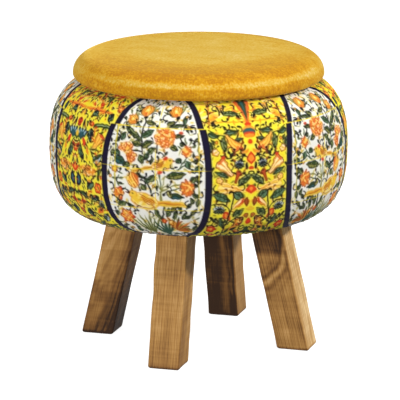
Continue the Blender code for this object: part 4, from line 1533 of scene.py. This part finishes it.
# a square with rounded corners, anticlockwise: x, y, how near each point is to a corner,
# and which face it is on
def postSection():
    half, corner = leg["side"] / 2, leg["corner"]
    arc = np.linspace(0, math.pi / 2, leg["cornerSteps"])
    flat = np.linspace(-1, 1, leg["faceSteps"] + 2)[1:-1] * (half - corner)
    px = np.concatenate((np.full(len(flat), half), half - corner + corner * np.cos(arc)))
    py = np.concatenate((flat, half - corner + corner * np.sin(arc)))
    near = np.concatenate((ease(abs(flat), half - 2.2 * corner, half - corner), np.ones(len(arc))))
    face = np.concatenate((np.zeros(len(flat)), arc / math.pi * 2))
    x, y = [], []
    for quarter in range(4):
        c, s = (round(value) for value in cosSin(quarter * 90))
        x.append(px * c - py * s)
        y.append(px * s + py * c)
    faces = np.concatenate([face + quarter for quarter in range(4)])
    return np.concatenate(x), np.concatenate(y), np.tile(near, 4), faces


# height and size of each ring of a post's points: drawn in at both ends to ease the edges, then capped
def postRings():
    quarter = np.linspace(0, math.pi / 2, 5)
    rim = leg["ease"] * (1 - np.cos(quarter))
    middle = np.linspace(leg["ease"], leg["height"] - leg["ease"], leg["rows"])[1:-1]
    rise = np.concatenate(([0, 0], rim, middle, leg["height"] - rim[::-1], [leg["height"]] * 2))
    drawn = 1 - leg["ease"] * (1 - np.sin(quarter)) / (leg["side"] / 2)
    shrink = np.concatenate(([0.02, 0.6], drawn, np.ones(len(middle)), drawn[::-1], [0.6, 0.02]))
    return rise[:, None], shrink[:, None]


# random values over a post, smooth along it and round it
def postNoise(draw, rows, shape):
    coarse = draw.normal(0, 1, (rows, 16))
    return resample(coarse, np.linspace(1, rows - 2, shape[0]), np.linspace(0, 16, shape[1], endpoint=False))


# 1 on a face, fading out round its corners
def onFace(face, number):
    return (1 - abs(face - number)).clip(0, 1)


# the stain of each face with painted shade in it, deeper across it, along its corners, towards its foot and
# in patches
def faceStainAndShade(own, section, rise, shrink, blotch):
    x, y, near, face = section
    acrossX, acrossY, foot, footFrom, corners, patches = own["deepens"]
    edgeDark, edgeHigh = leg["footEdge"]
    stainAndShade = np.interp(face, range(5), own["stainsAndShade"] + own["stainsAndShade"][:1])
    stainAndShade = stainAndShade + (acrossX * x + acrossY * y) / (leg["side"] / 2)
    stainAndShade = stainAndShade + corners * near * (shrink > 0.9) + edgeDark * ease(edgeHigh - rise, 0, edgeHigh)
    return stainAndShade + patches * blotch + foot * ease(footFrom - rise, 0, footFrom)


# marks on single faces: a pale streak, and on some posts a flame and a painted shadow on the upper end
def faceMarks(own, face, px, py, along, rough):
    streakFace, streakAt, streakHalf, pale = own["streak"]
    offset = (px if streakFace % 2 else py) - streakAt - 0.002 * np.sin(along * 60)
    marks = -pale * np.exp(-((offset / streakHalf) ** 2)) * onFace(face, streakFace)
    if "flame" in own:
        flameX, flameAlong, halfX, halfAlong, dark, flameFace = own["flame"]
        far = np.hypot((px - flameX) / halfX, (along - flameAlong) / halfAlong) + 0.02 * rough
        bands = leg["flameHeart"] * (1 - ease(far, 0.8, 1.0))
        for at, width, strength in leg["flameBands"]:
            bands += strength * np.exp(-(((far - at) / width) ** 2))
        marks += dark * bands * onFace(face, flameFace)
    if "head" in own:
        headFace, headFrom, headShadow = own["head"]
        # a painted shadow over the upper end of one face
        marks += headShadow * ease(along, headFrom - 0.004, headFrom + 0.006) * onFace(face, headFace)
    return marks


# stained pine: growth rings round the heart, fibres and saw marks along the post, darker stain in patches
def stainedPine():
    material, tree, shader = newMaterial("stainedPine", {"Roughness": 0.62, "Specular IOR Level": 0.08})
    grain = readLayer(tree, "grain", "Vector")
    fibres = addNoise(tree, stretched(tree, grain, (700.0, 700.0, 14.0)), 1.0, 5.0, 0.65)
    sway = addNoise(tree, stretched(tree, grain, (60.0, 60.0, 9.0)))
    patches = addNoise(tree, stretched(tree, grain, (64.0, 64.0, 20.0)), 1.0, 3.0, 0.6)
    saw = addNoise(tree, stretched(tree, grain, (8.0, 8.0, 260.0)), 1.0, 1.0)
    fade = addNoise(tree, stretched(tree, grain, (150.0, 150.0, 12.0)))
    cells = addNode(tree, "TexVoronoi", {"Vector": stretched(tree, grain, (90.0, 90.0, 30.0)), "Scale": 1.0})
    nicks = addRange(tree, cells.outputs["Distance"], 0.03, 0.09, 1.0, 0.0)
    ringAt = addMath(tree, "MULTIPLY_ADD", sway, 0.0032, readLayer(tree, "rings"))
    turns = addMath(tree, "MULTIPLY", ringAt, math.tau / leg["ringPitch"])
    uneven = addMath(tree, "SINE", addMath(tree, "MULTIPLY", turns, 0.31))
    wave = addMath(tree, "SINE", addMath(tree, "MULTIPLY_ADD", uneven, 1.7, turns))
    late = addRange(tree, wave, -0.2, 1.0, 0.0, 1.0, "SMOOTHSTEP")
    late = addMath(tree, "MULTIPLY", late, fade)
    # the stain layer holds painted shade, and a painted shadow, as well as the wood's stain
    tone = addMath(tree, "MULTIPLY_ADD", late, 0.27, readLayer(tree, "stainAndShade"))
    for field, share in ((fibres, 0.5), (patches, 0.5), (saw, 0.2)):
        tone = addSwing(tree, tone, field, share)
    tone = addMath(tree, "MULTIPLY_ADD", nicks, -0.12, tone)
    stops = ((0.0, "E0C08C"), (0.15, "C9A068"), (0.40, "AB7F46"), (0.68, "7D562E"), (1.0, "38261A"))
    height = addMath(tree, "MULTIPLY_ADD", fibres, 0.6, addMath(tree, "MULTIPLY", saw, 0.6))
    dress(tree, shader, addRamp(tree, tone, stops), height, 0.35, 0.0005)
    return material


# the section carried up a leaning line, with a face at each end
def buildLegs():
    wood = stainedPine()
    section = postSection()
    x, y, _, face = section
    rise, shrink = postRings()
    shape = len(rise), len(x)
    last = (shape[0] - 1) * shape[1]
    ends = [tuple(range(shape[1]))[::-1], tuple(range(last, last + shape[1]))]
    faces = ringQuads(*shape)[:, ::-1].tolist() + ends
    lean, slope = cosSin(leg["splay"])[0], math.tan(math.radians(leg["splay"]))
    height, along = np.broadcast_to(rise, shape), np.broadcast_to(rise / lean, shape)
    for number, (side, own) in enumerate(leg["legs"].items()):
        draw = np.random.default_rng(40 + number)
        rough, blotch = postNoise(draw, 14, shape), postNoise(draw, 16, shape)
        size = shrink * (1 + rough * leg["unevenness"] / (leg["side"] / 2))
        px, py = x * size, y * size
        outward = px / lean + leg["footRadius"] - slope * rise
        c, s = cosSin(own["bearing"])
        points = np.stack((outward * c - py * s, outward * s + py * c, height), -1)
        mesh = bpy.data.meshes.new("leg." + side)
        mesh.from_pydata(points.reshape(-1, 3), [], faces)
        mesh.shade_smooth()
        heartX, heartY, drift = own["heart"]
        rings = np.hypot(px - heartX, py - heartY - drift * (along - 0.08))
        stainAndShade = faceStainAndShade(own, section, rise, shrink, blotch) + faceMarks(own, face, px, py, along, rough)
        addLayer(mesh, "grain", "FLOAT_VECTOR", np.stack((px, py, along), -1) + number * 0.7)
        addLayer(mesh, "rings", "FLOAT", rings)
        # stain with painted shade in it
        addLayer(mesh, "stainAndShade", "FLOAT", stainAndShade)
        addPiece("leg." + side, mesh, wood, "leg_" + side)


buildLegs()
print("legs built")


# black cloth under the base
dust = {
    "radius": 0.122,
    "height": 0.1787,
    "sag": 0.0003,
    "side": 61,
    "thick": 0.0006,
    "ripple": 0.00012,
    "ripples": 34,
}


# fine cells with lint over them
def dustCloth():
    material, tree, shader = newMaterial("dustCloth", {"Roughness": 0.95})
    place = objectPlace(tree)
    cells = addNode(tree, "TexVoronoi", {"Vector": place, "Scale": 700.0}).outputs["Distance"]
    lint = addNoise(tree, place, 160.0, 4.0)
    tone = addMath(tree, "MULTIPLY_ADD", cells, 0.6, addMath(tree, "MULTIPLY", lint, 0.5))
    dress(tree, shader, addRamp(tree, tone, ((0.2, "141416"), (0.8, "36363A"))), cells, 0.4, 0.0003)
    return material


# a disc that sags by a cosine, rippled near its edge
def buildDustCover():
    far, way, _ = discGrid(dust["side"])
    ripple = dust["ripple"] * np.cos(way * dust["ripples"]) * ease(far, 0.8, 1.0)
    height = dust["height"] - dust["sag"] * np.cos(far * math.pi / 2) + ripple
    points = polar(far * dust["radius"], way, height)
    mesh = makeMesh("dustCover", points, patchQuads(dust["side"])[:, ::-1])
    piece = addPiece("dustCover", mesh, dustCloth(), "dust_cover")
    wall = piece.modifiers.new("thickness", "SOLIDIFY")
    wall.thickness, wall.offset = dust["thick"], 0


buildDustCover()
print("dust cover built")


# wood with fibres along one axis and plies along Z, for solids that stay as they are
def layeredWood(name, codes, pitch, axisScale):
    material, tree, shader = newMaterial(name, {"Roughness": 0.7})
    place = objectPlace(tree)
    fibres = addNoise(tree, stretched(tree, place, axisScale), 1.0, 4.0)
    level = addNode(tree, "SeparateXYZ", {"Vector": place}).outputs["Z"]
    plies = addMath(tree, "SINE", addMath(tree, "MULTIPLY", level, math.tau / pitch))
    tone = addMath(tree, "MULTIPLY_ADD", plies, 0.22, fibres)
    dress(tree, shader, addRamp(tree, tone, ((0.25, codes[0]), (0.75, codes[1]))), fibres, 0.25, 0.0004)
    return material


# two colours in grains, for the rest of them
def speckled(name, codes, scale, roughness, metallic=0.0):
    material, tree, shader = newMaterial(name, {"Roughness": roughness, "Metallic": metallic})
    specks = addNoise(tree, objectPlace(tree), scale, 4.0, 0.6)
    dress(tree, shader, addRamp(tree, specks, ((0.3, codes[0]), (0.7, codes[1]))), specks, 0.3, 0.0004)
    return material


# a finish for each solid that still shows, by its name or the first word of it
def finishSolids():
    finishes = {
        "seat_foam": speckled("padFoam", ("DCCB94", "EDE2B8"), 900.0, 0.95),
        "foam_sleeve": speckled("sleeveFoam", ("D8C68E", "EADFB4"), 900.0, 0.95),
        "fibre_fill": speckled("looseFibre", ("DEDEDA", "F6F6F2"), 260.0, 0.95),
        "drum_wall": speckled("hardboard", ("4E321C", "6B4727"), 420.0, 0.75),
        "seat_board": layeredWood("seatPly", ("A8845A", "CBA877"), 0.003, (30.0, 300.0, 300.0)),
        "base_board": layeredWood("basePly", ("A07C52", "C6A06E"), 0.003, (30.0, 300.0, 300.0)),
        "top_ring": layeredWood("ringPly", ("A58158", "C9A573"), 0.003, (300.0, 30.0, 300.0)),
        "post": layeredWood("barePine", ("C29A62", "DDBB85"), 0.09, (260.0, 260.0, 12.0)),
    }
    steel = speckled("zincSteel", ("8E8A7C", "B9B4A2"), 1500.0, 0.38, 1.0)
    for name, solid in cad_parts.items():
        if solid.hide_render:
            continue
        finish = steel if "screw" in name else finishes.get(name) or finishes.get(name.split("_")[0])
        solid.data.materials.clear()
        solid.data.materials.append(finish)


finishSolids()
print("inner solids finished")
